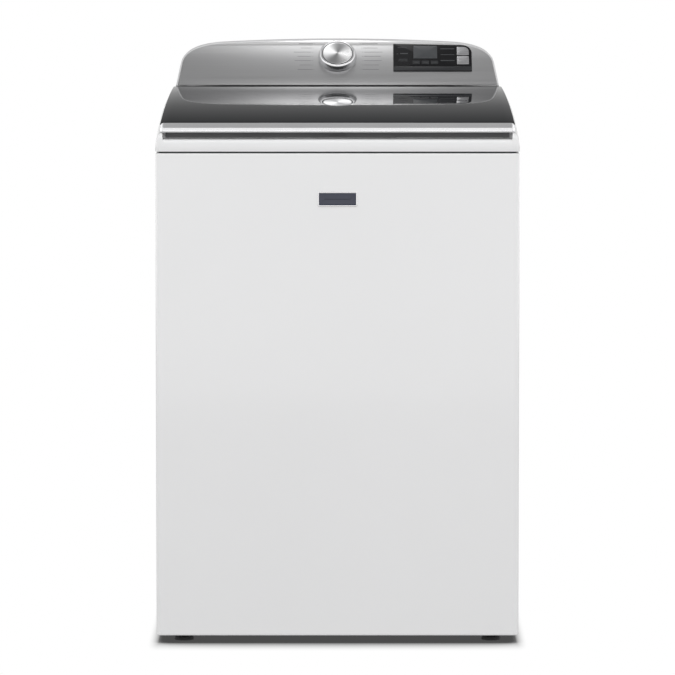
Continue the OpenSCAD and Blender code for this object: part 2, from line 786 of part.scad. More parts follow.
// Side view of the console, drawn in by a margin
module console_side(margin) {
    r = crest_r - margin;
    crest = [for (i = [0:8]) let (a = 90 + (90 - face_lean) * (1 - i / 8)) [crest_y + r * cos(a), console_top - crest_r + r * sin(a)]];
    polygon(concat([[face_y + margin, console_z + margin], [face_y + margin, face_z + margin * (1 - sin(face_lean)) / cos(face_lean)]], crest,
        [[rear_y - margin - 4, console_top - margin], [rear_y - margin, console_top - margin - 4], [rear_y - margin, console_z + margin]]));
}

// Front view of the console: leaning sides, swept corners and a crowned top
module console_front(margin) {
    foot = console_half - margin;
    z_side = console_top - corner_h;
    x_side = console_half - side_lean * (z_side - console_z) - margin;
    x_tip = console_half - side_lean * (console_top - crest_sag - console_z) - margin;
    x_top = x_side - corner_w;
    z_tip = console_top - crest_sag - margin;
    corner = [for (i = [0:10]) bezier([x_side, z_side], [x_tip, z_tip - 4], [x_top, z_tip], i / 10)];
    crest = [for (i = [1:11]) let (x = x_top * (1 - i / 6)) [x, z_tip + crest_sag * (1 - pow(x / x_top, 2))]];
    polygon(concat([[foot, console_z + margin]], corner, crest,
        [for (i = [10:-1:0]) [-corner[i][0], corner[i][1]]], [[-foot, console_z + margin]]));
}

module fascia_region(depth) {
    intersection() {
        along(face_y - 5, rear_y) console_front(fascia_rim);
        across(body_w) difference() {
            console_side(0);
            console_side(depth);
        }
        on_face(-body_w / 2, 1, -depth - 5) cube([body_w, face_len + 6, 40]);
    }
}

// Window behind the display, wells of the keys and the shaft hole of the knob
module face_holes(grow) {
    on_face(display_u0 + 6 - grow, display_v0 + 6 - grow, -40)
        cube([key_u - 3 - display_u0 - 6 + 2 * grow, display_v1 - display_v0 - 14 + 2 * grow, 80]);
    on_face(0, 0, -40) linear_extrude(80) {
        key_plan(power_v, 0.5 + grow, true);
        key_plan(start_v, 0.5 + grow, false);
    }
    on_face(0, knob_v, -40) cylinder(r = 10 + grow, h = 80);
}

module console_housing() {
    color("gray") difference() {
        intersection() {
            across(body_w) console_side(0);
            along(face_y - 5, rear_y) console_front(0);
        }
        intersection() {
            across(body_w) console_side(fascia_t + console_t);
            along(face_y, rear_y) console_front(fascia_t + console_t);
        }
        // open at the back, where the cover closes it, and at the bottom
        along(rear_y - 12, rear_y + 1) console_front(fascia_t + console_t);
        along(rear_y - sheet_t - 0.2, rear_y + 1) console_front(1.6);
        translate([-console_half + 20, face_y + 18, console_z - 1]) cube([2 * console_half - 40, console_d - 40, 10]);
        fascia_region(fascia_t);
        face_holes(0);
        for (p = cover_screw_places()) rod_y(p[0], p[1], rear_y - 30, rear_y + 1, screw_r);
    }
    color("gray") for (p = cover_screw_places()) difference() {
        translate([p[0] - 6, rear_y - 24, p[1] - 6]) cube([12, 24 - sheet_t - 0.2, 12]);
        rod_y(p[0], p[1], rear_y - 30, rear_y + 1, screw_r);
    }
    // struts that tie the screw bosses to the side walls
    color("gray") for (p = cover_screw_places(), s = [sign(p[0])]) intersection() {
        translate([s > 0 ? p[0] + 6 - eps : p[0] - 60 - 6 + eps, rear_y - 24, p[1] - 2]) cube([60, 24 - sheet_t - 0.2, 4]);
        along(face_y, rear_y) console_front(1);
    }
}

module console_fascia() {
    color("darkgray") difference() {
        fascia_region(fascia_t - 0.02);
        face_holes(0.2);
    }
}

module console_cover() {
    color("gainsboro") difference() {
        along(rear_y - sheet_t, rear_y) console_front(2);
        for (p = cover_screw_places()) rod_y(p[0], p[1], rear_y - 3, rear_y + 1, screw_r);
        rod_y(console_half - 90, console_z + 30, rear_y - 3, rear_y + 1, gland_r + 4.2);
    }
}

module cord_gland() {
    x = console_half - 90;
    z = console_z + 30;
    color("black") difference() {
        union() {
            rod_y(x, z, rear_y - 12, rear_y + 10, gland_r + 4);
            rod_y(x, z, rear_y + 0.02, rear_y + 4, gland_r + 9);
        }
        rod_y(x, z, rear_y - 13, rear_y + 11, gland_r);
    }
}

module control_board() {
    w = 190;
    color("darkgreen") translate([display_u1 - w, crest_y - 2, console_z + 0.02]) {
        cube([w, 1.6, 58]);
        for (i = [0:4]) translate([12 + i * 36, 1.6, 16]) cube([20, 9, 14 + 4 * (i % 2)]);
    }
}

// Rotary encoder with a push switch; its bushing carries the knob
module knob_encoder() {
    inside = -fascia_t - console_t - 0.02;
    color("dimgray") difference() {
        union() {
            on_face(-20, knob_v - 20, inside - 16) cube([40, 40, 16]);
            on_face(0, knob_v, inside - 1) cylinder(r = bushing_r, h = 6 - inside);
        }
        on_face(0, knob_v, inside - 12) cylinder(r = stem_r + 2 * run_gap, h = 60);
    }
}

module knob_ring() {
    web = 4;
    bore = bushing_r + run_gap;
    color("silver") on_face(0, knob_v, 1) rotate_extrude() polygon(concat(
        [[bore, 0], [knob_r - 1, 0], [knob_r, 1.5]],
        [for (i = [0:4]) let (t = i / 4) [knob_r - 3 * t * t, 3 + (knob_h - 4.2) * t]],
        [[knob_r - 4.2, knob_h], [knob_button_r + 0.35, knob_h], [knob_button_r + 0.35, web], [bore, web]]));
}

module knob_button() {
    color("lightgray") on_face(0, knob_v, 1) {
        translate([0, 0, knob_h - 5]) cylinder(r1 = knob_button_r, r2 = knob_button_r - 0.6, h = 5.4);
        translate([0, 0, -fascia_t - console_t - 6]) cylinder(r = stem_r, h = knob_h + fascia_t + console_t + 2);
    }
}

// Plan of the display panel, in the face's plane
module display_plan() {
    u0 = display_u0;
    u1 = display_u1;
    lean = side_lean * (display_v1 - display_v0) * 0.35;
    r = display_corner;
    corner = [for (i = [0:8]) let (a = 90 * i / 8) [u1 - lean - r + r * cos(a), display_v1 - r + r * sin(a)]];
    polygon(concat([[u0, display_v0], [u1, display_v0]], corner, [[u0, display_v1 + 4]]));
}

module key_plan(v, grow, rounded) {
    r = rounded ? display_corner - 6 : 1;
    translate([key_u, v]) polygon(concat(
        [[-grow, -grow], [key_w + grow, -grow]],
        [for (i = [0:6]) let (a = 90 * i / 6) [key_w - r + (r + grow) * cos(a), key_h - r + (r + grow) * sin(a)]],
        [[-grow, key_h + grow]]));
}

module display_panel() {
    color("black") on_face(0, 0, 0) difference() {
        linear_extrude(display_t) display_plan();
        translate([0, 0, -1]) linear_extrude(5) {
            key_plan(power_v, 0.3, true);
            key_plan(start_v, 0.3, false);
        }
        translate([lcd_u, lcd_v, 0.6]) cube([lcd_size[0], lcd_size[1], 5]);
    }
}

module display_lcd() {
    color("slategray") on_face(lcd_u + 0.1, lcd_v + 0.1, 0.62) cube([lcd_size[0] - 0.2, lcd_size[1] - 0.2, display_t - 0.7]);
}

module panel_key(v, rounded) {
    color("silver") on_face(0, 0, -4) linear_extrude(display_t + 4.6) key_plan(v, 0, rounded);
}

// ---- Tub and suspension --------------------------------------------------

module outer_tub() {
    rib_h = 18;
    color("gainsboro") difference() {
        union() {
            translate([0, tub_y, 0]) {
                rotate_extrude() polygon([[hub_r - 1, tub_z0], [tub_r, tub_z0], [tub_r, tub_top - cover_t - 8],
                    [tub_r + 7, tub_top - cover_t - 8], [tub_r + 7, tub_top - cover_t],
                    [tub_r - tub_t, tub_top - cover_t], [tub_r - tub_t, tub_z0 + tub_floor_t], [hub_r - 1, tub_z0 + tub_floor_t]]);
                ring(hub_z0, hub_z1, hub_r, bearing_r);
                ring(hub_z0 + bearing_h + 2, hub_z1 - bearing_h - 8, bearing_r + 1, bearing_r - 5);
                for (i = [0:7]) rotate(22.5 + 45 * i) translate([hub_r - 1, -3, tub_z0 - rib_h])
                    cube([tub_r - hub_r - 12, 6, rib_h + 1]);
            }
            // sump spigot over the pump
            translate([pump_x, pump_y, tub_z0 - 24]) cylinder(r = 18, h = 26);
            for (p = rod_places()) ear(p);
        }
        translate([pump_x, pump_y, tub_z0 - 26]) cylinder(r = 14, h = 40);
        for (p = rod_places()) translate([p[0], p[1], ear_z - 30]) cylinder(r = rod_r + 6, h = 60);
    }
}

// An arm from the tub's wall out to a suspension rod
module ear(p) {
    d = [p[0], p[1] - tub_y];
    len = norm(d);
    translate([0, tub_y, ear_z]) rotate(atan2(d[1], d[0])) {
        translate([tub_r - tub_t + 1, -24, 0]) cube([len - tub_r + tub_t - 1, 48, ear_t]);
        translate([len, 0, 0]) cylinder(r = 24, h = ear_t);
        for (s = [-1, 1]) translate([tub_r - 2, s * 20 - 3, ear_t]) cube([len - tub_r - 22, 6, 22]);
    }
}

module tub_cover() {
    r_in = tub_r - tub_t - cover_lip;
    color("whitesmoke") translate([0, tub_y, 0]) rotate_extrude() polygon([[r_in, tub_top - 3], [r_in + 8, tub_top],
        [tub_r + 7, tub_top], [tub_r + 7, tub_top - cover_t], [tub_r - tub_t - 6, tub_top - cover_t],
        [r_in + 8, tub_top - cover_t + 2], [r_in, tub_top - cover_t]]);
}

module ear_seats() {
    color("dimgray") for (p = rod_places()) translate([p[0], p[1], ear_z - seat_h]) difference() {
        cylinder(r1 = 20, r2 = 23, h = seat_h);
        translate([0, 0, -1]) cylinder(r = rod_r + 1, h = seat_h + 2);
    }
}

module suspension_brackets() {
    color("silver") for (p = rod_places()) difference() {
        sx = sign(p[0]);
        sy = p[1] > tub_y ? 1 : -1;
        corner = [sx * (half_w - sheet_t - 0.3), sy > 0 ? rear_y - 2 * sheet_t - 0.3 : front_y + sheet_t + 0.3];
        cut = edge_r;
        translate([0, 0, bracket_z]) linear_extrude(bracket_t) polygon([
            corner - [sx * cut, 0], corner - [0, sy * cut],
            corner - [0, sy * bracket_leg], corner - [sx * bracket_leg, 0]]);
        translate([p[0], p[1], bracket_z - 1]) cylinder(r = rod_r + 4, h = bracket_t + 2);
    }
}

module rod_sockets() {
    color("white") for (p = rod_places()) translate([p[0], p[1], bracket_z + bracket_t]) difference() {
        cylinder(r = 15, h = 8);
        translate([0, 0, -1]) cylinder(r = rod_r + 0.5, h = 12);
        translate([0, 0, 12]) sphere(r = 10.2);
    }
}

module suspension_rods() {
    color("silver") for (p = rod_places()) translate([p[0], p[1], 0]) {
        translate([0, 0, spring_z - cap_h]) cylinder(r = cap_r, h = cap_h);
        translate([0, 0, spring_z - cap_h - 10]) cylinder(r = rod_r, h = bracket_z + bracket_t + 12 - spring_z + cap_h + 10);
        translate([0, 0, bracket_z + bracket_t + 12]) sphere(r = 10);
    }
}

// A round wire swept along a helix with closed ends
module spring(r, wire, height, turns) {
    steps = 12 * turns;
    sides = 6;
    function centre(i) = let (a = 360 * turns * i / steps) [r * cos(a), r * sin(a), wire + (height - 2 * wire) * i / steps];
    points = [for (i = [0:steps]) let (a = 360 * turns * i / steps, c = centre(i)) for (k = [0:sides - 1])
        let (b = 360 * k / sides) c + wire * [cos(b) * cos(a), cos(b) * sin(a), sin(b)]];
    sides_faces = [for (i = [0:steps - 1], k = [0:sides - 1]) let (k2 = (k + 1) % sides)
        [i * sides + k, i * sides + k2, (i + 1) * sides + k2, (i + 1) * sides + k]];
    ends = [[for (k = [sides - 1:-1:0]) k], [for (k = [0:sides - 1]) steps * sides + k]];
    polyhedron(points, concat(sides_faces, ends));
}

module suspension_springs() {
    color("silver") for (p = rod_places()) translate([p[0], p[1], spring_z])
        spring(15, spring_wire, spring_l, spring_turns);
}

module hub_bearings() {
    color("silver") translate([0, tub_y, 0]) {
        ring(hub_z0 + 2, hub_z0 + 2 + bearing_h, bearing_r, spin_r + run_gap);
        ring(hub_z1 - bearing_h - 8, hub_z1 - 8, bearing_r, spin_r + run_gap);
    }
}

module hub_seal() {
    color("black") translate([0, tub_y, 0]) ring(hub_z1 - 8, hub_z1 - 1, bearing_r, spin_r + 0.1);
}

// ---- Drive ---------------------------------------------------------------

module stator_core() {
    color("dimgray") translate([0, tub_y, 0]) {
        ring(stator_z, stator_z + stator_h, 78, 62);
        ring(stator_z + stator_h - 1, tub_z0 - 18.2, 70, 62);
        for (i = [0:tooth_count - 1]) rotate(360 * i / tooth_count) {
            translate([77, -3, stator_z + 3]) cube([stator_r - 80, 6, stator_h - 6]);
            translate([stator_r - 5, -13, stator_z + 1]) cube([5 - 0.8, 26, stator_h - 2]);
        }
    }
}

module stator_coils() {
    color("peru") translate([0, tub_y, 0]) for (i = [0:tooth_count - 1]) rotate(360 * i / tooth_count) difference() {
        translate([86, -7, stator_z - 1]) cube([stator_r - 94, 14, stator_h + 2]);
        translate([80, -3.1, stator_z + 2.9]) cube([stator_r, 6.2, stator_h - 5.8]);
    }
}

// Slides down the spin tube until its facing meets the rotor's hub
module clutch_slider() {
    color("white") translate([0, tub_y, 0]) difference() {
        ring(slider_z, slider_z + slider_h, slider_r, spin_r + run_gap);
        ring(slider_z + 5, slider_z + 9, slider_r + 1, slider_r - 4);
        for (i = [0:11]) rotate(30 * i) translate([slider_r - 7, 0, slider_z - 1]) cylinder(r = 1.2, h = 3);
    }
}

module rotor_cup() {
    wall = 4;
    color("silver") translate([0, tub_y, 0]) difference() {
        union() {
            rotate_extrude() polygon([[shaft_r, rotor_z], [rotor_r, rotor_z], [rotor_r, rotor_rim_top],
                [rotor_r - wall - 5, rotor_rim_top], [rotor_r - wall - 5, rotor_z + wall + 6],
                [36, rotor_z + wall], [36, rotor_hub_top], [shaft_r, rotor_hub_top]]);
        }
        for (i = [0:11]) rotate(30 * i) translate([85, 0, rotor_z - 1]) cylinder(r = 13, h = wall + 8);
    }
}

module spin_tube() {
    color("silver") translate([0, tub_y, 0]) {
        ring(slider_z + 1, basket_z0 + base_t + 1, spin_r, shaft_r + run_gap);
        ring(basket_z0 + base_t, basket_z0 + base_t + 6, 45, shaft_r + run_gap);
    }
}

module drive_shaft() {
    color("silver") translate([0, tub_y, rotor_z - 12]) {
        cylinder(r = shaft_r, h = impeller_z + 44 - rotor_z);
        cylinder(r = 14, h = 11.8, $fn = 6);
    }
}

module basket_wall() {
    color("lightgray") translate([0, tub_y, 0]) rotate_extrude() polygon([
        [basket_r - basket_t - 8, basket_z0 + base_t + 0.1], [basket_r - basket_t, basket_z0 + base_t + 0.1],
        [basket_r - basket_t, basket_z0 + 2], [basket_r, basket_z0 + 2], [basket_r, basket_z1 - 8],
        [basket_r - basket_t, basket_z1 - 8], [basket_r - basket_t, basket_z0 + base_t + 0.1 + basket_t],
        [basket_r - basket_t - 8, basket_z0 + base_t + 0.1 + basket_t]]);
}

module basket_base() {
    color("whitesmoke") translate([0, tub_y, 0]) difference() {
        union() {
            ring(basket_z0, basket_z0 + base_t, basket_r - basket_t - 0.1, spin_r + 0.5);
            ring(basket_z0 - 3, basket_z0 + 1, 110, 60);
        }
        for (i = [0:17]) rotate(20 * i) translate([basket_r - 28, 0, basket_z0 - 1]) cylinder(r = 5, h = base_t + 2);
    }
}

module balance_ring() {
    z1 = basket_z1;
    r = basket_r - basket_t - 0.1;
    color("whitesmoke") translate([0, tub_y, 0]) rotate_extrude() polygon(concat(
        [[r - ring_w, z1 - ring_h + 10], [r - ring_w + 10, z1 - ring_h], [r, z1 - ring_h], [r, z1 - 6], [r + basket_t + 0.1, z1 - 6], [r + basket_t + 0.1, z1 - 2]],
        [for (i = [0:5]) let (a = 18 * i) [r - 4 + 4 * cos(a), z1 - 4 + 4 * sin(a)]],
        [for (i = [0:5]) let (a = 90 + 18 * i) [r - ring_w + 12 + 12 * cos(a), z1 - 12 + 12 * sin(a)]]));
}

module impeller() {
    z = impeller_z;
    color("lightsteelblue") translate([0, tub_y, 0]) difference() {
        union() {
            rotate_extrude() polygon(concat([[shaft_r, z], [impeller_r - 20, z], [impeller_r, z + 10], [impeller_r, z + 16]],
                [for (i = [0:8]) let (t = i / 8) [impeller_r - 6 - (impeller_r - 56) * t, z + 12 + 26 * pow(t, 2.2)]],
                [[42, z + 44], [24, z + 50], [shaft_r, z + 50]]));
            for (i = [0:5]) rotate(60 * i) intersection() {
                translate([50, -9, z + 8]) cube([impeller_r - 70, 18, 44]);
                rotate([90, 0, 0]) translate([0, 0, -20]) linear_extrude(40) polygon(concat([[40, z + 8]],
                    [for (k = [0:8]) let (t = k / 8) [44 + (impeller_r - 64) * t, z + 46 - 24 * t * t]], [[impeller_r - 18, z + 8]]));
            }
        }
        rotate_extrude() polygon(concat([[impeller_r - 24, z - 1]],
            [for (i = [0:8]) let (t = i / 8) [impeller_r - 12 - (impeller_r - 62) * t, z + 7 + 26 * pow(t, 2.2)]],
            [[34, z + 38], [34, z - 1]]));
        for (i = [0:17]) rotate(20 * i) translate([impeller_r - 60 + 12 * (i % 3), 0, z - 1]) cylinder(r = 3, h = 60);
    }
}

// ---- Pump ----------------------------------------------------------------

module drain_pump() {
    z = pump_z;
    color("dimgray") translate([pump_x, pump_y, 0]) difference() {
        union() {
            translate([0, 0, z]) cylinder(r = pump_r, h = pump_h);
            translate([0, 0, z - 48]) cylinder(r = 31, h = 49);
            translate([0, 0, z + pump_h - 1]) cylinder(r = 23, h = tub_z0 - 19 - z - pump_h + 1);
            rod_y(28, z + 14, 0, 74, 13);
        }
        translate([0, 0, z + 3]) cylinder(r = pump_r - 3, h = pump_h - 6);
        translate([0, 0, z + 10]) cylinder(r = 18.1, h = 200);
        rod_y(28, z + 14, 20, 80, 10);
        translate([0, 0, z - 24]) cylinder(r = 3 + run_gap, h = 60);
    }
}

// Vanes and shaft of the pump
module pump_impeller() {
    color("ivory") translate([pump_x, pump_y, pump_z]) {
        translate([0, 0, 4.5]) cylinder(r = 29, h = 2.5);
        translate([0, 0, 4.5]) cylinder(r = 7, h = 18);
        translate([0, 0, -20]) cylinder(r = 3, h = 26);
        for (i = [0:5]) rotate(15 + 60 * i) translate([4, -1, 6]) cube([22, 2, 13]);
    }
}

cabinet_shell();
rear_panel();
rear_screws();
base_frame();
deck();
deck_skirt();
leg(0);  // leg_front_left
leg(1);  // leg_rear_left
leg(2);  // leg_front_right
leg(3);  // leg_rear_right
suspension_brackets();
rod_sockets();
suspension_rods();
suspension_springs();
nameplate_frame();
nameplate_face();
detergent_tray();
fill_flume();
inlet_valve();
inlet_ports();
drain_port();
lid_lock_case();
lid_lock_bolt();
hinge_brackets();
lid_glass();
lid_frame();
lid_trim();
lid_liner();
lid_bumpers();
lid_strike();
hinge_pins();
console_housing();
console_fascia();
console_cover();
cord_gland();
control_board();
knob_encoder();
knob_ring();
knob_button();
display_panel();
display_lcd();
panel_key(power_v, true);  // power_button
panel_key(start_v, false);  // start_button
outer_tub();
tub_cover();
ear_seats();
hub_bearings();
hub_seal();
stator_core();
stator_coils();
clutch_slider();
basket_wall();
basket_base();
balance_ring();
spin_tube();
impeller();
drive_shaft();
rotor_cup();
drain_pump();
pump_impeller();
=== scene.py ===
# %% [markdown]
# # A top load washing machine
# The steel cabinet, the moulded deck, the crowned glass lid and the sloping console are drawn here
# as surfaces worked out with numpy, around the solids that the CAD model packs. Each surface is a
# function of two parameters on a grid, because a grid gives even reflections on gloss paint and glass.

import math
import bmesh
import bpy
import numpy as np
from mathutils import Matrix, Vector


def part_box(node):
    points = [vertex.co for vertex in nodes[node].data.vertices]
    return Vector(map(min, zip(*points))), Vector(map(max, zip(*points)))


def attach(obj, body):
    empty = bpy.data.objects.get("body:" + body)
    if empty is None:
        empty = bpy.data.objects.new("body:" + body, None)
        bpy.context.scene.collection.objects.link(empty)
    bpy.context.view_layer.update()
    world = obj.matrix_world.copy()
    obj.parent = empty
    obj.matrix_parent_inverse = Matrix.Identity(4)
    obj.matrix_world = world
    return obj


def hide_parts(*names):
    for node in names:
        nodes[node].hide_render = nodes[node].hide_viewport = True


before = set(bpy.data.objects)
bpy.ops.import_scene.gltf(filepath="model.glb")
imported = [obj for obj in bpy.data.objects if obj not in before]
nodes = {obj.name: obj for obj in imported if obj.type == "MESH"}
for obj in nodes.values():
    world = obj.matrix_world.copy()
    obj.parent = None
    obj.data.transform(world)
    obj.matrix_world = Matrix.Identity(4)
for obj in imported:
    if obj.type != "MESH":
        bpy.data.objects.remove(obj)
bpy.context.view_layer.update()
MM = 0.001


def node_box(name):
    """Lowest and highest corner of a CAD node, as arrays."""
    return [np.array(corner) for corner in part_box(name)]


def plug(tree, socket, value):
    """Sets a socket to a number, or links another socket to it."""
    if isinstance(value, (int, float)):
        socket.default_value = value
    else:
        tree.links.new(value, socket)


def math_node(tree, operation, *values, clamp=False):
    """One arithmetic step in a node tree, on numbers or sockets."""
    n = tree.nodes.new("ShaderNodeMath")
    n.operation, n.use_clamp = operation, clamp
    for socket, value in zip(n.inputs, values):
        plug(tree, socket, value)
    return n.outputs[0]


# %% [markdown]
# The camera comes first, so that every later step can be judged through it. It stands ten metres
# away with a long lens, a little above the console, which keeps the cabinet's edges upright.

# %% Camera
lens = bpy.data.cameras.new("camera")
lens.lens = 278.7
lens.sensor_width = 36
lens.clip_end = 200
camera = bpy.data.objects.new("camera", lens)
bpy.context.collection.objects.link(camera)
camera.location = (0, -10.349, 1.462)
camera.rotation_euler = (math.radians(90 - 4.97), 0, 0)
bpy.context.scene.camera = camera
bpy.context.scene.view_settings.view_transform = "Standard"
print("camera at", tuple(round(c, 3) for c in camera.location))

# %% [markdown]
# A studio is mostly large soft panels. Here the sky itself is the panels: a brightness that depends
# on the direction only, bright in front and overhead, and dim low behind the machine, which is the
# part that the dark glass lid mirrors. Lamps would do as well, but a sky leaves less noise.

# %% Sky of soft panels
world = bpy.data.worlds.new("studio")
bpy.context.scene.world = world
world.use_nodes = True
sky = world.node_tree
sky.nodes.clear()


def sky_math(operation, *values):
    """One arithmetic step in the sky."""
    return math_node(sky, operation, *values)


def sky_curve(value, stops):
    """A brightness curve: straight lines between (position, brightness) stops, up to 2."""
    n = sky.nodes.new("ShaderNodeValToRGB")
    ramp = n.color_ramp
    ramp.elements[0].position, ramp.elements[1].position = stops[0][0], stops[-1][0]
    ends = [ramp.elements[0], ramp.elements[1]]
    for e, (at, level) in zip(ends, (stops[0], stops[-1])):
        e.color = (level / 2,) * 3 + (1,)
    for at, level in stops[1:-1]:
        ramp.elements.new(at).color = (level / 2,) * 3 + (1,)
    sky.links.new(value, n.inputs[0])
    return sky_math("MULTIPLY", n.outputs[0], 2.0)


direction = sky.nodes.new("ShaderNodeTexCoord").outputs["Generated"]
axes = sky.nodes.new("ShaderNodeSeparateXYZ")
sky.links.new(direction, axes.inputs[0])
height = sky_math("ADD", sky_math("MULTIPLY", axes.outputs[2], 0.5), 0.5)
depth = sky_math("ADD", sky_math("MULTIPLY", axes.outputs[1], 0.5), 0.5)
aside = sky_math("ABSOLUTE", axes.outputs[0])
behind = sky_curve(height, [(0.0, 0.6), (0.5, 0.85), (0.55, 0.7), (0.585, 0.46), (0.63, 0.24), (0.675, 0.08),
                            (0.69, 0.03), (0.78, 0.08), (0.86, 0.5), (0.95, 0.6), (1.0, 0.4)])
front = sky_curve(height, [(0.0, 0.8), (0.44, 1.25), (0.5, 1.0), (0.56, 0.7), (0.66, 0.8), (0.74, 1.7),
                           (0.87, 1.75), (0.93, 0.6), (0.97, 0.3), (1.0, 0.42)])
sides = sky_curve(aside, [(0.0, 0.0), (0.35, 0.0), (0.6, 0.75), (1.0, 0.7)])
in_front = sky_curve(depth, [(0.3, 1.0), (0.52, 0.0)])
mixed = sky_math("ADD", sky_math("MULTIPLY", front, in_front),
                 sky_math("MULTIPLY", behind, sky_math("SUBTRACT", 1.0, in_front)))
level = sky_math("ADD", mixed, sky_math("MULTIPLY", sides, sky_math("SUBTRACT", 1.0, in_front)))
seen = sky.nodes.new("ShaderNodeLightPath").outputs["Is Camera Ray"]
lit = sky.nodes.new("ShaderNodeBackground")
plain = sky.nodes.new("ShaderNodeBackground")
plain.inputs["Color"].default_value = (1, 1, 1, 1)
lit.inputs["Color"].default_value = (1, 1, 1, 1)
sky.links.new(level, lit.inputs["Strength"])
choose = sky.nodes.new("ShaderNodeMixShader")
sky.links.new(seen, choose.inputs[0])
sky.links.new(lit.outputs[0], choose.inputs[1])
sky.links.new(plain.outputs[0], choose.inputs[2])
sky.links.new(choose.outputs[0], sky.nodes.new("ShaderNodeOutputWorld").inputs[0])
print("sky:", len(sky.nodes), "nodes")

# %% [markdown]
# One softbox hangs close over the console. A near lamp grades the brushed fascia from its middle to
# its ends, which a sky at infinity can't do, and it puts the bright wedges on the knob.

# %% Softbox over the console
box = bpy.data.lights.new("softbox", "AREA")
box.shape, box.size, box.size_y, box.energy = "RECTANGLE", 0.35, 0.5, 2.0
softbox = bpy.data.objects.new("softbox", box)
softbox.location = (0, 0.62, 2.15)
softbox.rotation_euler = (math.radians(-19), 0, 0)
bpy.context.collection.objects.link(softbox)
print("softbox", box.energy, "W")

# %% [markdown]
# Most finishes on an appliance share a few small effects: the faint ripple of sprayed enamel, the
# lines that a brush leaves in steel, the fine grain of a mould, and an uneven bloom of handling.
# Each one is a node group, built once, with inputs for its scale and strength.

# %% Shared effects
def effect(name, inputs, outputs):
    """Starts a shader node group with float inputs {name: default} and named float outputs."""
    g = bpy.data.node_groups.new(name, "ShaderNodeTree")
    for key, value in inputs.items():
        g.interface.new_socket(key, in_out="INPUT", socket_type="NodeSocketFloat").default_value = value
    for key in outputs:
        g.interface.new_socket(key, in_out="OUTPUT", socket_type="NodeSocketFloat")
    return g, g.nodes.new("NodeGroupInput"), g.nodes.new("NodeGroupOutput")


def group_noise(g, vector, scale, detail, rough=0.5):
    """A noise texture inside a group; its scale is a socket or a number."""
    n = g.nodes.new("ShaderNodeTexNoise")
    n.inputs["Detail"].default_value = detail
    n.inputs["Roughness"].default_value = rough
    g.links.new(vector, n.inputs["Vector"])
    plug(g, n.inputs["Scale"], scale)
    return n.outputs[0]


def object_vector(g, stretch=(1, 1, 1)):
    """Object coordinates, stretched along the axes."""
    t = g.nodes.new("ShaderNodeTexCoord")
    m = g.nodes.new("ShaderNodeVectorMath")
    m.operation = "MULTIPLY"
    m.inputs[1].default_value = stretch
    g.links.new(t.outputs["Object"], m.inputs[0])
    return m.outputs[0]


def group_map(g, value, low, high):
    """Maps 0.3..0.7 of a noise to low..high, which are sockets or numbers."""
    n = g.nodes.new("ShaderNodeMapRange")
    n.inputs[1].default_value, n.inputs[2].default_value = 0.3, 0.7
    g.links.new(value, n.inputs[0])
    plug(g, n.inputs[3], low)
    plug(g, n.inputs[4], high)
    return n.outputs[0]


grain, gi, go = effect("mould grain", {"Scale": 900.0, "Low": 0.3, "High": 0.4}, ["Height", "Roughness"])
grain.links.new(group_noise(grain, object_vector(grain), gi.outputs["Scale"], 3), go.inputs["Height"])
grain.links.new(group_map(grain, group_noise(grain, object_vector(grain), 9.0, 3), gi.outputs["Low"],
                          gi.outputs["High"]),
                go.inputs["Roughness"])

brushed, gi, go = effect("brush lines", {"Scale": 1.0, "Low": 0.3, "High": 0.4},
                         ["Height", "Tone", "Roughness"])
fine = group_noise(brushed, object_vector(brushed, (3, 1400, 1400)), gi.outputs["Scale"], 2, 0.7)
long_lines = group_noise(brushed, object_vector(brushed, (0.8, 260, 260)), gi.outputs["Scale"], 2, 0.6)
both = math_node(brushed, "MULTIPLY_ADD", fine, 0.5, math_node(brushed, "MULTIPLY", long_lines, 0.5))
brushed.links.new(both, go.inputs["Height"])
brushed.links.new(both, go.inputs["Tone"])
brushed.links.new(group_map(brushed, fine, gi.outputs["Low"], gi.outputs["High"]), go.inputs["Roughness"])

bloom, gi, go = effect("handling bloom", {"Scale": 5.0, "Low": 0.0, "High": 1.0}, ["Amount"])
bloom.links.new(group_map(bloom, group_noise(bloom, object_vector(bloom), gi.outputs["Scale"], 5, 0.6),
                          gi.outputs["Low"], gi.outputs["High"]), go.inputs["Amount"])
print("effects:", [g.name for g in bpy.data.node_groups])


# %% [markdown]
# A finish is one Principled shader with an effect or two plugged into its colour, roughness and
# bump. The same small function builds them all, and each call names the real finish.

# %% One function for every finish
def mix_colour(tree, factor, a, b):
    """Mixes colour a (a socket or three numbers) into b by a factor's socket and feeds the shader's colour."""
    mix = tree.nodes.new("ShaderNodeMix")
    mix.data_type = "RGBA"
    for name, colour in (("A", a), ("B", b)):
        if isinstance(colour, tuple):
            mix.inputs[name].default_value = (*colour, 1)
        else:
            tree.links.new(colour, mix.inputs[name])
    tree.links.new(factor, mix.inputs["Factor"])
    tree.links.new(mix.outputs["Result"], tree.nodes["Principled BSDF"].inputs["Base Color"])


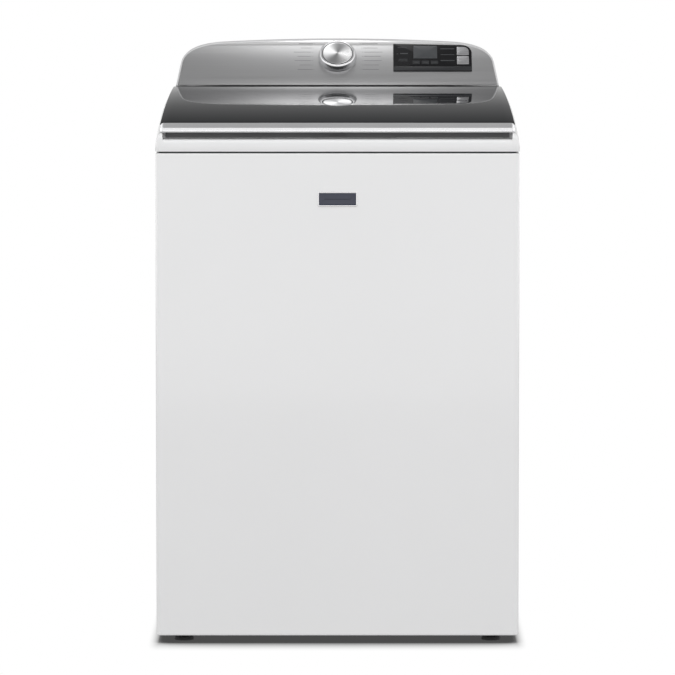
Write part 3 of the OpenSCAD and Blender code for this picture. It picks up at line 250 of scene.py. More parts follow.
def finish(name, color, rough, metallic=0.0, coat=0.0, texture=grain, scale=900.0, bump=0.1, bump_mm=0.05,
           spread=0.05, tone=0.0, ior=None, anisotropy=0.0, bloom_scale=5.0):
    """A Principled material: roughness varies by +-spread, colour by +-tone, and bump rides on texture."""
    m = bpy.data.materials.new(name)
    m.use_nodes = True
    t = m.node_tree
    b = t.nodes["Principled BSDF"]
    b.inputs["Base Color"].default_value = (*color, 1)
    b.inputs["Metallic"].default_value = metallic
    b.inputs["Coat Weight"].default_value = coat
    b.inputs["Coat Roughness"].default_value = 0.04
    b.inputs["Anisotropic"].default_value = anisotropy
    if ior:
        b.inputs["IOR"].default_value = ior
    g = t.nodes.new("ShaderNodeGroup")
    g.node_tree = texture
    g.inputs["Scale"].default_value = scale
    g.inputs["Low"].default_value = max(0.0, rough - spread)
    g.inputs["High"].default_value = rough + spread
    t.links.new(g.outputs["Roughness"], b.inputs["Roughness"])
    if bump:
        n = t.nodes.new("ShaderNodeBump")
        n.inputs["Strength"].default_value = bump
        n.inputs["Distance"].default_value = bump_mm * MM
        t.links.new(g.outputs["Height"], n.inputs["Height"])
        t.links.new(n.outputs[0], b.inputs["Normal"])
    if tone:
        if "Tone" in g.outputs:
            amount = g.outputs["Tone"]
        else:
            f = t.nodes.new("ShaderNodeGroup")
            f.node_tree = bloom
            f.inputs["Scale"].default_value = bloom_scale
            amount = f.outputs["Amount"]
        mix_colour(t, amount, tuple(c * (1 - tone) for c in color),
                   tuple(min(1.0, c * (1 + tone)) for c in color))
    return m


white_enamel = finish("white enamel", (0.86, 0.86, 0.865), 0.2, coat=0.4, scale=260, bump=0.05, bump_mm=0.06,
                      spread=0.03, tone=0.012, bloom_scale=1.5)
white_deck = finish("white gloss plastic", (0.87, 0.87, 0.875), 0.24, coat=0.25, scale=420, bump=0.05,
                    tone=0.012, bloom_scale=3)
white_satin = finish("white satin plastic", (0.80, 0.80, 0.80), 0.38, scale=1300, bump=0.12, tone=0.02)
natural_plastic = finish("undyed plastic", (0.72, 0.72, 0.69), 0.45, scale=1000, bump=0.2, tone=0.05)
zinc_sheet = finish("zinc coated sheet", (0.62, 0.63, 0.64), 0.36, metallic=1.0, scale=60, bump=0.1,
                    spread=0.1, tone=0.16, bloom_scale=45)
zinc_plate = finish("zinc plated steel", (0.66, 0.66, 0.64), 0.28, metallic=1.0, scale=500, bump=0.1,
                    tone=0.06, bloom_scale=20)
drawn_steel = finish("drawn steel", (0.56, 0.56, 0.57), 0.28, metallic=1.0, texture=brushed, scale=0.6,
                     bump=0.1, tone=0.08)
stainless = finish("stainless drum sheet", (0.80, 0.80, 0.81), 0.3, metallic=1.0, texture=brushed, scale=0.35,
                   bump=0.06, tone=0.07)
dark_satin = finish("dark satin plastic", (0.035, 0.035, 0.038), 0.42, scale=1100, bump=0.2, tone=0.1)
# Dark grey for the lid's bumpers, whose front strip lies across the finger recess under the trim: the rubber's
# own colour, and there also painted shade where the trim's overhang keeps the light off the recess.
recess_shade_grey = finish("dark grey rubber and recess shade", (0.075, 0.075, 0.078), 0.55, scale=900, bump=0.2, tone=0.08)
black_rubber = finish("black rubber", (0.022, 0.022, 0.022), 0.7, scale=800, bump=0.35, bump_mm=0.1,
                      tone=0.15)
lid_glass_dark = finish("dark tinted glass", (0.010, 0.011, 0.013), 0.035, scale=30, bump=0.0, spread=0.008,
                        ior=1.5, tone=0.05)
trim_silver = finish("satin chrome trim", (0.86, 0.86, 0.87), 0.2, metallic=1.0, scale=600, bump=0.02,
                     tone=0.02)
fascia_metal = finish("brushed grey fascia", (0.40, 0.40, 0.405), 0.36, metallic=1.0, texture=brushed,
                      scale=0.8, bump=0.22, bump_mm=0.03, spread=0.06, tone=0.09)
console_grey = finish("metallic grey housing", (0.60, 0.60, 0.605), 0.5, metallic=0.35, scale=1500, bump=0.06,
                      tone=0.03)
knob_chrome = finish("satin chrome knob", (0.72, 0.72, 0.73), 0.16, metallic=1.0, scale=700, bump=0.02,
                     tone=0.02)
display_gloss = finish("black display plate", (0.006, 0.006, 0.007), 0.27, scale=500, bump=0.0, spread=0.02,
                       ior=1.28, tone=0.05)
lcd_film = finish("unlit display film", (0.055, 0.058, 0.062), 0.3, scale=1600, bump=0.05, tone=0.08,
                  ior=1.35, bloom_scale=60)
smoked_film = finish("smoked display band", (0.022, 0.023, 0.025), 0.3, scale=1600, bump=0.03, tone=0.08,
                     ior=1.35, bloom_scale=60)
key_metal = finish("silver key", (0.42, 0.42, 0.43), 0.3, metallic=0.9, texture=brushed, scale=0.9, bump=0.08,
                   tone=0.06)
print_grey = finish("printed mark", (0.20, 0.20, 0.205), 0.5, scale=900, bump=0.0, tone=0.1)
print_pale = finish("pale printed mark", (0.05, 0.052, 0.055), 0.5, scale=900, bump=0.0, tone=0.1, ior=1.3)
port_blue = finish("blue moulded port", (0.03, 0.09, 0.36), 0.4, scale=900, bump=0.15, tone=0.06)
laminated_iron = finish("laminated iron", (0.12, 0.12, 0.125), 0.5, metallic=0.8, texture=brushed, scale=1.0,
                        bump=0.3, tone=0.2)
copper_wire = finish("enamelled copper", (0.50, 0.17, 0.06), 0.3, metallic=0.9, texture=brushed, scale=2.5,
                     bump=0.5, bump_mm=0.2, tone=0.2)
board_lacquer = finish("green board lacquer", (0.01, 0.10, 0.035), 0.3, scale=700, bump=0.1, tone=0.15,
                       bloom_scale=80)
impeller_plastic = finish("pearl grey plastic", (0.45, 0.48, 0.51), 0.26, coat=0.2, scale=900, bump=0.06,
                          tone=0.03)
plate_gloss = finish("dark badge lacquer", (0.012, 0.016, 0.04), 0.12, coat=0.5, scale=900, bump=0.0,
                     tone=0.05)


def paint_light_by_height(material, z0, z1, tint, stops):
    """Mixes a tint into a finish's colour by height, as painted shade or painted highlight: stops are (share
    of z0..z1, amount of tint).
    """
    t = material.node_tree
    split = t.nodes.new("ShaderNodeSeparateXYZ")
    t.links.new(t.nodes.new("ShaderNodeTexCoord").outputs["Object"], split.inputs[0])
    share = t.nodes.new("ShaderNodeMapRange")
    share.inputs["From Min"].default_value, share.inputs["From Max"].default_value = z0, z1
    t.links.new(split.outputs["Z"], share.inputs["Value"])
    curve = t.nodes.new("ShaderNodeValToRGB")
    ramp = curve.color_ramp
    for e, (at, amount) in zip(ramp.elements, (stops[0], stops[-1])):
        e.position, e.color = at, (amount,) * 3 + (1,)
    for at, amount in stops[1:-1]:
        ramp.elements.new(at).color = (amount,) * 3 + (1,)
    t.links.new(share.outputs[0], curve.inputs[0])
    base = t.nodes["Principled BSDF"].inputs["Base Color"].links[0].from_socket
    mix_colour(t, curve.outputs[0], base, tint)


# painted shade: the housing's foot, which lies in shadow behind the lid, is darkened; painted highlight: the
# fascia is made brighter towards its top
paint_light_by_height(console_grey, 1.0535, 1.0560, (0.02, 0.02, 0.02), [(0.0, 1.0), (1.0, 0.0)])
paint_light_by_height(fascia_metal, 1.10, 1.145, (1, 1, 1), [(0.1, 0.0), (0.56, 0.13), (0.74, 0.17), (0.83, 0.65),
                                                      (0.9, 0.75)])
print("finishes:", len(bpy.data.materials))


# %% [markdown]
# Three helpers turn arrays into pieces. A grid of points becomes quads; a piece may wrap round in
# either direction, and a row that shrinks to a point closes by merging. The slab joins an upper
# and a lower sheet round their rim.

# %% Grids into meshes
def quads(rows, cols, wrap_rows=False, wrap_cols=False):
    """Corner numbers of every quad of a grid, by index arithmetic on whole arrays."""
    r = np.arange(rows if wrap_rows else rows - 1)
    c = np.arange(cols if wrap_cols else cols - 1)
    R, C = np.meshgrid(r, c, indexing="ij")
    R2, C2 = (R + 1) % rows, (C + 1) % cols
    return np.stack([R * cols + C, R * cols + C2, R2 * cols + C2, R2 * cols + C], -1).reshape(-1, 4)


def closed_quads(grid):
    """Quads of a grid that wraps round in both directions."""
    return quads(grid.shape[0], grid.shape[1], True, True)


def capped_quads(grid):
    """Quads of a tube of loops, with a cap of one face at each end."""
    rows, cols = grid.shape[:2]
    last = (rows - 1) * cols
    return quads(rows, cols, wrap_cols=True).tolist() + [list(range(cols)),
                                                         list(range(last, last + cols))[::-1]]


def piece(name, verts, faces, body, material, slot=None, stands_for=(), sharp=38.0, closed=True, after=None):
    """Puts arrays into a mesh, merges doubles, turns faces outwards, marks sharp edges and rides on a body."""
    mesh = bpy.data.meshes.new(name)
    mesh.from_pydata(np.asarray(verts, float).reshape(-1, 3).tolist(), [], [list(map(int, f)) for f in faces])
    bm = bmesh.new()
    bm.from_mesh(mesh)
    bmesh.ops.remove_doubles(bm, verts=bm.verts, dist=2e-6)
    bmesh.ops.dissolve_degenerate(bm, dist=1e-7, edges=bm.edges)
    if closed:
        bmesh.ops.recalc_face_normals(bm, faces=bm.faces)
    bm.to_mesh(mesh)
    bm.free()
    o = bpy.data.objects.new(name, mesh)
    bpy.context.collection.objects.link(o)
    if after:
        after(o)
    o.data.materials.clear()
    o.data.materials.append(material)
    o.data.polygons.foreach_set("material_index", np.zeros(len(o.data.polygons), int))
    smooth_by_angle(o.data, sharp)
    if body:
        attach(o, body)
    if stands_for:
        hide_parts(*stands_for)
    print(name, len(o.data.polygons), "faces")
    return o


def smooth_by_angle(mesh, degrees):
    """Smooth shading everywhere but across edges sharper than the angle."""
    bm = bmesh.new()
    bm.from_mesh(mesh)
    limit = math.radians(degrees)
    for f in bm.faces:
        f.smooth = True
    for e in bm.edges:
        e.smooth = len(e.link_faces) == 2 and e.calc_face_angle(0.0) < limit
    bm.to_mesh(mesh)
    bm.free()


def slab(top, bottom):
    """Points and faces of two sheets, each an m x n grid, joined round their rim."""
    m, n = top.shape[:2]
    faces = quads(m, n)
    lower = faces[:, ::-1] + m * n
    i = np.arange(m * n).reshape(m, n)
    rim = np.concatenate([i[0, :-1], i[:-1, -1], i[-1, :0:-1], i[:0:-1, 0]])
    nxt = np.roll(rim, -1)
    side = np.stack([rim, rim + m * n, nxt + m * n, nxt], -1)
    return np.concatenate([top.reshape(-1, 3), bottom.reshape(-1, 3)]), np.concatenate([faces, lower, side])


def cut(o, *cutters):
    """Boolean difference with other meshes, applied to the mesh, after which the cutters go."""
    for c in cutters:
        m = o.modifiers.new("cut", "BOOLEAN")
        m.object, m.operation, m.solver = c, "DIFFERENCE", "EXACT"
    mesh = bpy.data.meshes.new_from_object(o.evaluated_get(bpy.context.evaluated_depsgraph_get()))
    o.modifiers.clear()
    o.data = mesh
    for c in cutters:
        bpy.data.objects.remove(c)


def prism(name, outline, z0, z1):
    """A loose cutter: an outline of (x, y) points carried from z0 to z1."""
    n = len(outline)
    pts = np.concatenate([np.c_[outline, np.full(n, z)] for z in (z0, z1)])
    return piece(name, pts, capped_quads(pts.reshape(2, n, 3)), None, white_deck)


def round_rect(w, d, r, at=(0, 0)):
    """A rectangle with quarter circles at its corners, anticlockwise from the right-hand top."""
    n = 10
    a = np.radians(np.linspace(0, 90, n))
    q = np.concatenate([a + k * math.pi / 2 for k in range(4)])
    sx = np.repeat([1, -1, -1, 1], n)
    sy = np.repeat([1, 1, -1, -1], n)
    return np.c_[at[0] + sx * (w / 2 - r) + r * np.cos(q), at[1] + sy * (d / 2 - r) + r * np.sin(q)]


def lathe(profile, n=96):
    """A closed (radius, height) profile turned round Z: x = r cos t, y = r sin t, z = h."""
    p = np.asarray(profile, float)
    t = np.linspace(0, 2 * math.pi, n, endpoint=False)
    pts = np.stack([p[:, None, 0] * np.cos(t), p[:, None, 0] * np.sin(t), np.repeat(p[:, 1:2], n, 1)], -1)
    return pts, closed_quads(pts)


def arc(cx, cy, r, a0, a1, n=6):
    """Points of a circular arc between two angles in degrees."""
    a = np.radians(np.linspace(a0, a1, n))
    return np.c_[cx + r * np.cos(a), cy + r * np.sin(a)]


# %% [markdown]
# Everything on the front follows from a few heights and depths of the machine. They are the same
# values that the CAD model uses, read from its nodes' boxes where a box gives them.

# %% Leading dimensions
shell_lo, shell_hi = node_box("cabinet_shell")
glass_hi = node_box("lid_glass")[1]
half_w = shell_hi[0]
front_y = shell_lo[1]
rear_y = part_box("deck")[1][1]
foot_z = shell_lo[2]
shell_top = shell_hi[2]
deck_z = shell_top + 3 * MM
lid_y0 = front_y + 4 * MM
lid_y1 = glass_hi[1]
lid_z0 = shell_top + 56.5 * MM
lid_z1 = lid_z0 + 51 * MM
crown_r = 4.5
chord = math.hypot(lid_y1 - lid_y0, lid_z1 - lid_z0)
drop = math.sqrt(crown_r**2 - chord**2 / 4)
crown_cy = (lid_y0 + lid_y1) / 2 + drop * (lid_z1 - lid_z0) / chord
crown_cz = (lid_z0 + lid_z1) / 2 - drop * (lid_y1 - lid_y0) / chord
lid_t, lid_gap, glass_t, liner_t = 17 * MM, 2 * MM, 4 * MM, 3 * MM


def crown(y):
    """Height of the lid's top: an arc of 4.5 m radius, front to back."""
    return crown_cz + np.sqrt(crown_r**2 - (y - crown_cy) ** 2)


def lid_half(y):
    """Half the lid's width, which narrows evenly from its front edge to its rear edge."""
    return half_w - 9.5 * MM - 10 * MM * (y - lid_y0) / (lid_y1 - lid_y0)


print("cabinet", round(2 * half_w, 4), "wide; lid", round(float(lid_z0), 4), "to", round(float(lid_z1), 4))

# %% [markdown]
# The cabinet is one long sheet of steel bent round the front and both sides, with its lower edge
# rolled under and its upper edge turned in to carry the deck. Its section is carried along the
# bent path, and the corners are true arcs, which a subdivided box would only come near.

# %% Path of the sheet and offsets from it
def plan_path(d):
    """The U of the wrapped sheet seen from above, drawn in by d: flange, side, front, side, flange."""
    corner, flange = 10 * MM, 22 * MM
    w, y0, y1 = half_w - d, front_y + d, rear_y - 1.2 * MM - d
    r = max(corner - d, 0.3 * MM)
    side = np.linspace(y1, front_y + corner, 14)
    left = np.c_[np.full(14, -w), side]
    bend = arc(-half_w + corner, front_y + corner, r, 180, 270, 10)[1:-1]
    across = np.linspace(-half_w + corner, half_w - corner, 25)
    half = np.r_[[[-half_w + flange, y1]], left, bend, np.c_[across, np.full(25, y0)]]
    mirror = np.r_[bend[::-1] * [-1, 1], left[::-1] * [-1, 1], [[half_w - flange, y1]]]
    return np.r_[half, mirror]


def swept_section(section, path):
    """Carries a closed (inset, height) section along path(inset): one row of points per section point."""
    return np.stack([np.c_[path(d), np.full(len(path(d)), z)] for d, z in section])


sheet = 1.2 * MM
shell_section = np.r_[
    arc(3 * MM, foot_z + 3 * MM, 3 * MM, 270, 180, 6), arc(3 * MM, shell_top - 3 * MM, 3 * MM, 180, 90, 6),
    [[8 * MM, shell_top], [8 * MM, shell_top - sheet], [sheet + 0.5 * MM, shell_top - sheet],
     [sheet, shell_top - sheet - 0.5 * MM], [sheet, foot_z + 5 * MM], [sheet, foot_z + 2.4 * MM],
     [3.5 * MM, foot_z + sheet], [9 * MM, foot_z + sheet], [9 * MM, foot_z]]]
P = swept_section(shell_section, plan_path)
n = P.shape[1]
faces = quads(len(P), n, wrap_rows=True).tolist()
faces += [[i * n for i in range(len(P))], [i * n + n - 1 for i in range(len(P))][::-1]]
piece("cabinet_sheet", P, faces, "cabinet", white_enamel, "enamel_white", ("cabinet_shell",), sharp=50)

# %% [markdown]
# The rear panel is a flat galvanised sheet with three broad pressed ribs. A press leaves slanted,
# rounded flanks, so the panel is a height field: a smooth step up round each rib.

# %% Rear panel with pressed ribs
def smooth_step(t):
    """0 below 0, 1 above 1, and an even S between."""
    t = np.clip(t, 0, 1)
    return t * t * (3 - 2 * t)


def round_box_distance(x, z, cx, cz, w, h, r):
    """Signed distance from a rectangle with round corners: negative inside."""
    qx, qz = np.abs(x - cx) - (w / 2 - r), np.abs(z - cz) - (h / 2 - r)
    return np.hypot(np.maximum(qx, 0), np.maximum(qz, 0)) + np.minimum(np.maximum(qx, qz), 0) - r


back_lo, back_hi = node_box("rear_panel")
rib_xs, rib_w, rib_h, rib_rise = (-0.19, 0, 0.19), 0.15, 0.693, 3.9 * MM
rib_z = foot_z + 0.4365
xs = np.linspace(back_lo[0], back_hi[0], 181)
zs = np.linspace(back_lo[2], back_hi[2], 181)
X, Z = np.meshgrid(xs, zs, indexing="ij")
rise = np.zeros_like(X)
for cx in rib_xs:
    d = round_box_distance(X, Z, cx, rib_z, rib_w, rib_h, 0.03)
    rise += smooth_step(-d / (9 * MM)) * rib_rise
outer = np.stack([X, rear_y + rise, Z], -1)
inner = np.stack([X, rear_y + rise - sheet, Z], -1)
drain_lo, drain_hi = node_box("drain_port")
drain_at = ((drain_lo + drain_hi) / 2)[[0, 2]]


def along_y(points, x, z, y0=0.0):
    """Turns lathe points so that their axis lies along +Y at (x, z), their height starting at y0."""
    return np.stack([points[..., 0] + x, points[..., 2] + y0, -points[..., 1] + z], -1)


def port_way(x, z, r=15.2 * MM):
    """A loose cutter: a round way through the back at (x, z)."""
    pts, f = lathe([(0, 0), (r, 0), (r, 0.03), (0, 0.03)], 48)
    return piece("way", along_y(pts, x, z, rear_y - 0.02), f, None, white_deck)


def drain_hole(o):
    """Cuts the round way for the drain port."""
    cut(o, port_way(*drain_at))


piece("pressed_back", *slab(outer, inner), "cabinet", zinc_sheet, "zinc", ("rear_panel",), after=drain_hole)

# %% [markdown]
# The deck is one moulding: a rim that rounds over into the sides, a finger recess along its front,
# and a large opening. Its grid runs round the machine in one direction. In the other it goes from
# the opening's edge over the rim, down the side and back inside, so the wall is closed by itself.

# %% Outlines that the deck is stretched between
opening_w, opening_r, opening_y0, opening_y1 = 0.530, 0.150, front_y + 60 * MM, lid_y1 - 44 * MM
opening_c = np.array([0.0, (opening_y0 + opening_y1) / 2])
opening_half = np.array([opening_w / 2, (opening_y1 - opening_y0) / 2])
recess_z = shell_top + 26.5 * MM
recess_d = 27 * MM
xs_front = np.r_[-335.7, -334.3, -331, np.linspace(-322, 322, 41), 331, 334.3, 335.7] * MM


def deck_outer(d):
    """The deck's outline drawn in by d, as a closed loop that starts at the front's left end."""
    w, y0, y1, r = half_w - d, front_y + d, rear_y - d, 10 * MM - d
    bend = arc(half_w - 10 * MM, front_y + 10 * MM, r, 270, 360, 9)
    side = np.r_[[14, 18, 21, 24, 26, 28.5], np.linspace(34, 1000 * (rear_y - front_y) - 22,
                                                         34)] * MM + front_y
    right = np.c_[np.full(len(side), w), np.minimum(side, y1)]
    rear_x = np.linspace(w, -w, 41)
    left = right[::-1] * [-1, 1]
    return np.r_[np.c_[xs_front, np.full(len(xs_front), y0)], bend, right, np.c_[rear_x, np.full(41, y1)],
                 left, (bend * [-1, 1])[::-1]]


def deck_inner_rim(outer):
    """Where the rim's rounding starts: the lid's width at the sides, the recess's wall at the front."""
    x, y = outer[:, 0], outer[:, 1]
    ry = np.clip(y, front_y + recess_d, rear_y - 16 * MM)
    w = lid_half(np.minimum(ry, lid_y1)) - 1 * MM
    return np.c_[np.clip(x, -w, w), ry]


def onto_opening(p, grow=0.0):
    """Slides points towards the opening's centre until they meet its rounded outline (bisection)."""
    v = p - opening_c
    lo, hi = np.zeros(len(p)), np.ones(len(p))
    for _ in range(40):
        mid = (lo + hi) / 2
        q = v * mid[:, None]
        inside = round_box_distance(q[:, 0], q[:, 1], 0, 0, *(2 * (opening_half + grow)),
                                    opening_r + grow) < 0
        lo, hi = np.where(inside, mid, lo), np.where(inside, hi, mid)
    return opening_c + v * lo[:, None]


def quarter(q):
    """How far a quarter ellipse has fallen at the fraction q of its run."""
    return 1 - np.sqrt(np.maximum(1 - np.clip(q, 0, 1) ** 2, 0))


def deck_height(x, y):
    """Top of the deck: 19 mm under the crown, less the shoulders, the nose and the finger recess."""
    top = crown(np.minimum(y, lid_y1)) - lid_t - lid_gap
    rim = half_w - lid_half(np.clip(y, lid_y0, lid_y1)) + 1 * MM
    z = top - 30 * MM * quarter((np.abs(x) - (half_w - rim)) / rim)
    z = z - 9 * MM * quarter((front_y + 9 * MM - y) / (9 * MM))
    z = z - 3 * MM * quarter((y - rear_y + 3 * MM) / (3 * MM))
    floor = recess_z - 7 * MM * quarter((front_y + 7 * MM - y) / (7 * MM))
    wall = np.clip((y - (front_y + recess_d - 1.4 * MM)) / (1.4 * MM), 0, 1)
    lip = z - 2.5 * MM * quarter((front_y + recess_d + 2.5 * MM - y) / (2.5 * MM))
    recessed = floor + (lip - floor) * wall
    return np.where((np.abs(x) < 335 * MM) & (y < front_y + recess_d + 2.5 * MM), recessed, z)


# %% The deck's closed grid
outer0, outer3 = deck_outer(0.0), deck_outer(3 * MM)
rim0 = deck_inner_rim(outer0)
edge0 = onto_opening(rim0)
flat_t = np.array([0, 0.02, 0.15, 0.4, 0.65, 0.85, 0.93, 0.96, 0.98, 0.99, 1.0])
rim_t = np.array([0.012, 0.03, 0.05, 0.07, 0.12, 0.25, 0.45, 0.6, 0.74, 0.8, 0.86, 0.91, 0.95, 0.98, 0.995,
                  1.0])


def deck_rows(outer, fall):
    """Rows from the opening's edge to the outline, lowered by fall."""
    plan = [edge0 + (rim0 - edge0) * t for t in flat_t] + [rim0 + (outer - rim0) * t for t in rim_t]
    return [np.c_[p, deck_height(p[:, 0], p[:, 1]) - fall] for p in plan]


def level_row(d, z):
    """The outline drawn in by d, at one height."""
    p = deck_outer(d)
    return np.c_[p, np.full(len(p), z)]


rows = deck_rows(outer0, 0.0)
under_edge = ((0, deck_z + 1 * MM), (0.3, deck_z + 0.3 * MM), (1, deck_z), (7.2, deck_z),
              (7.2, shell_top + 0.05 * MM), (9.6, shell_top + 0.05 * MM), (9.6, deck_z + 4 * MM),
              (3, deck_z + 6 * MM))
rows += [level_row(d * MM, z) for d, z in under_edge]
rows += deck_rows(outer3, 3 * MM)[::-1]
P = np.stack(rows)
tray_lo, tray_hi = node_box("detergent_tray")
tray_c = (tray_lo + tray_hi) / 2
inlet_lo, inlet_hi = node_box("inlet_ports")
port_flange_r = 16.7 * MM
inlet_xs = (inlet_lo[0] + port_flange_r, inlet_hi[0] - port_flange_r)
inlet_z = (inlet_lo[2] + inlet_hi[2]) / 2
lock_lo = node_box("lid_lock_case")[0]


def deck_cuts(o):
    """The detergent cup's well, the strike's slot and the two inlet ways."""
    tools = [prism("well", round_rect(72.8 * MM, 72.8 * MM, 10 * MM, tray_c[:2]), 0.93, 1.1),
             prism("slot", round_rect(30 * MM, 10 * MM, 2 * MM, (0, lock_lo[1] - 5 * MM)), 0.95, 1.1)]
    cut(o, *tools, *[port_way(x, inlet_z) for x in inlet_xs])


deck = piece("moulded_deck", P, closed_quads(P), "cabinet", white_deck, "deck_white", ("deck",),
             sharp=48, after=deck_cuts)
count = len(deck.data.polygons)
middle = np.empty(count * 3)
deck.data.polygons.foreach_get("center", middle)
middle = middle.reshape(-1, 3)
inset_x, inset_y = half_w - np.abs(middle[:, 0]), np.minimum(middle[:, 1] - front_y, rear_y - middle[:, 1])
# painted shade: the deck's underside and the lip under its edge get dark plastic, darkening the seam gap
# between the deck and the cabinet
seam_shade = (middle[:, 2] < deck_z + 0.2 * MM) & (np.minimum(inset_x, inset_y) > 1.2 * MM)
deck.data.materials.append(dark_satin)
deck.data.polygons.foreach_set("material_index", seam_shade.astype(int))
print("gasket faces under the deck's edge:", int(seam_shade.sum()))

# %% [markdown]
# The skirt lines the opening and leads the laundry into the basket. It is a thin ring whose top
# follows the crown and whose lower edge is rolled.

# %% Skirt of the opening
around = np.linspace(0, 2 * math.pi, 160, endpoint=False)
far = opening_c + np.c_[np.cos(around), np.sin(around)] * 2
skirt_z = node_box("deck_skirt")[0][2]


def ring_at(grow, z):
    """The opening's outline, grown or drawn in, at a height or at heights per point."""
    p = onto_opening(far, grow)
    return np.c_[p, np.broadcast_to(z, len(p))]


mouth = onto_opening(far)
top_z = crown(mouth[:, 1]) - lid_t - lid_gap
skirt_section = ((0.25, top_z - 0.5 * MM), (1.2, top_z - 0.2 * MM), (2.4, top_z - 0.9 * MM),
                 (3.2, top_z - 3 * MM), (3.2, skirt_z + 10 * MM), (5.5, skirt_z + 3 * MM),
                 (5, skirt_z + 0.6 * MM), (3, skirt_z), (0.6, skirt_z + 2 * MM), (0.6, skirt_z + 12 * MM),
                 (0.25, top_z - 4 * MM))
rows = [ring_at(-d * MM, z) for d, z in skirt_section]
P = np.stack(rows)
piece("opening_skirt", P, closed_quads(P), "cabinet", white_satin, "white_plastic", ("deck_skirt",), sharp=60)

# %% [markdown]
# The lid's glass is a sheet of 4 mm that is curved front to back only. Reflections show the
# smallest dent, so its grid is even and its height is the exact arc. Its edge is ground round.

# %% Glass of the lid
def lid_sheet(y0, y1, side, sink, rim, corner=6 * MM, nu=41, below=0.0):
    """A lid layer: side and sink are its inset and its depth below the crown; rim rounds its edge."""
    t = np.array([0, 0.12, 0.3, 0.6, 1.0])
    ys = np.concatenate([y0 + rim * t, np.linspace(y0 + rim, y1 - rim, 61)[1:-1], y1 - rim * t[::-1]])
    u = np.linspace(-1, 1, nu)[1:-1]
    half = lid_half(ys) - side
    pull = corner - np.sqrt(np.maximum(corner**2 - np.maximum(corner - (y1 - ys), 0) ** 2, 0))
    half = (half - pull)[:, None]
    X = np.concatenate([-half + rim * t, (half - rim) * u, half - rim * t[::-1]], 1)
    Y = np.repeat(ys[:, None], X.shape[1], 1)
    d = np.minimum(np.minimum(half - np.abs(X), Y - y0), y1 - Y)
    fall = rim * quarter(1 - d / rim)
    return np.stack([X, Y, crown(Y) - sink - fall * (1 if below == 0 else -1) - below], -1)


glass_y0 = lid_y0 + 8 * MM
upper, lower = (lid_sheet(glass_y0, lid_y1, 0.0, 0.0, 0.9 * MM, below=below) for below in (0.0, glass_t))
piece("crowned_glass", *slab(upper, lower), "lid", lid_glass_dark, "glass_dark", ("lid_glass",), sharp=70)

# %% [markdown]
# The bright trim is an extruded bar that holds the glass's front edge and serves as the handle. Its
# section is carried across the lid and swings back in plan at both ends, where it is capped.

# %% Front trim
zb = lid_z0 - lid_t
ledge, ledge_y, bar_y = glass_t + 0.05 * MM, lid_y0 + 17 * MM, lid_y0 + 26 * MM
trim_section = np.r_[
    arc(lid_y0 + 2.2 * MM, zb + 2.2 * MM, 2.2 * MM, 270, 180, 6),
    arc(lid_y0 + 1.6 * MM, zb + 7.9 * MM, 1.6 * MM, 180, 120, 5),
    [[glass_y0 - 0.5 * MM, crown(glass_y0) - 0.5 * MM], [glass_y0, crown(glass_y0) - 0.05 * MM],
     [glass_y0 + 0.2 * MM, crown(glass_y0) - ledge], [ledge_y, crown(ledge_y) - ledge],
     [bar_y, crown(bar_y) - ledge], [bar_y, crown(bar_y) - lid_t]]]
w = lid_half(lid_y0)
gap = np.r_[0, 0.15, 0.6, 1.2, 2, 3, 4.2, 5.5, 7, 8.5] * MM
across = np.r_[-w + gap, np.linspace(-w + 12 * MM, w - 12 * MM, 31), (w - gap)[::-1]]
near = w - np.abs(across)
push = 8 * MM - np.sqrt(64 * MM**2 - np.maximum(8 * MM - near, 0) ** 2)
shrink = 1 - 0.06 * quarter(1 - near / (1.2 * MM))
mid = trim_section.mean(0)
S = mid + (trim_section - mid)[None] * shrink[:, None, None]
back = np.clip((S[..., 0] - lid_y0) / (bar_y - lid_y0), 0, 1)
narrow = (lid_half(S[..., 0]) - w) * np.sign(across)[:, None] * (np.abs(across) / w)[:, None]
P = np.stack([across[:, None] + narrow, S[..., 0] + push[:, None] * (1 - back), S[..., 1]], -1)
piece("handle_trim", P, capped_quads(P), "lid", trim_silver, "bright_trim", ("lid_trim",), sharp=42)

# %% [markdown]
# Under the glass the lid is closed by a white inner liner, which shows when it stands open. A
# shallow pressed field with soft edges stiffens it, as on most moulded liners.

# %% Inner liner
liner_lo, liner_hi = node_box("lid_liner")
y0, y1 = liner_lo[1], liner_hi[1]
upper, lower = (lid_sheet(y0, y1, 1 * MM, lid_t - liner_t, 0.5 * MM, corner=1 * MM, nu=81, below=below)
                for below in (0.0, liner_t))
d = round_box_distance(lower[..., 0], lower[..., 1], 0, (y0 + y1) / 2, 0.56, y1 - y0 - 0.12, 0.05)
lower[..., 2] += smooth_step(-d / (7 * MM)) * 2.0 * MM
ribs = 0.4 * MM * np.cos(lower[..., 0] / 0.024 * math.pi) * smooth_step(-(d + 25 * MM) / (20 * MM))
lower[..., 2] += ribs


def liner_cuts(o):
    """Notches for the hinge brackets and the strike's slot."""
    square = np.array([[-1, -1], [1, -1], [1, 1], [-1, 1]])
    tools = [prism("notch", square * [12 * MM, 12.5 * MM] + [x, y1 - 3.5 * MM], 0.9, 1.2)
             for x in (-267.5 * MM, 267.5 * MM)]
    tools.append(prism("slot", square * [10.3 * MM, 1.9 * MM] + [0, lock_lo[1] - 4 * MM], 0.9, 1.2))
    cut(o, *tools)


piece("pressed_liner", *slab(upper, lower), "lid", white_satin, "white_plastic", ("lid_liner",), sharp=40,
      after=liner_cuts)

# %% [markdown]
# The console's housing is a swept shell: its outline is a rounded arch, crowned on top, and its
# face leans back by 45 degrees with a slight bulge. The face's own plane gives places for the
# knob, the display and the print: u across, v up the face, n outwards.

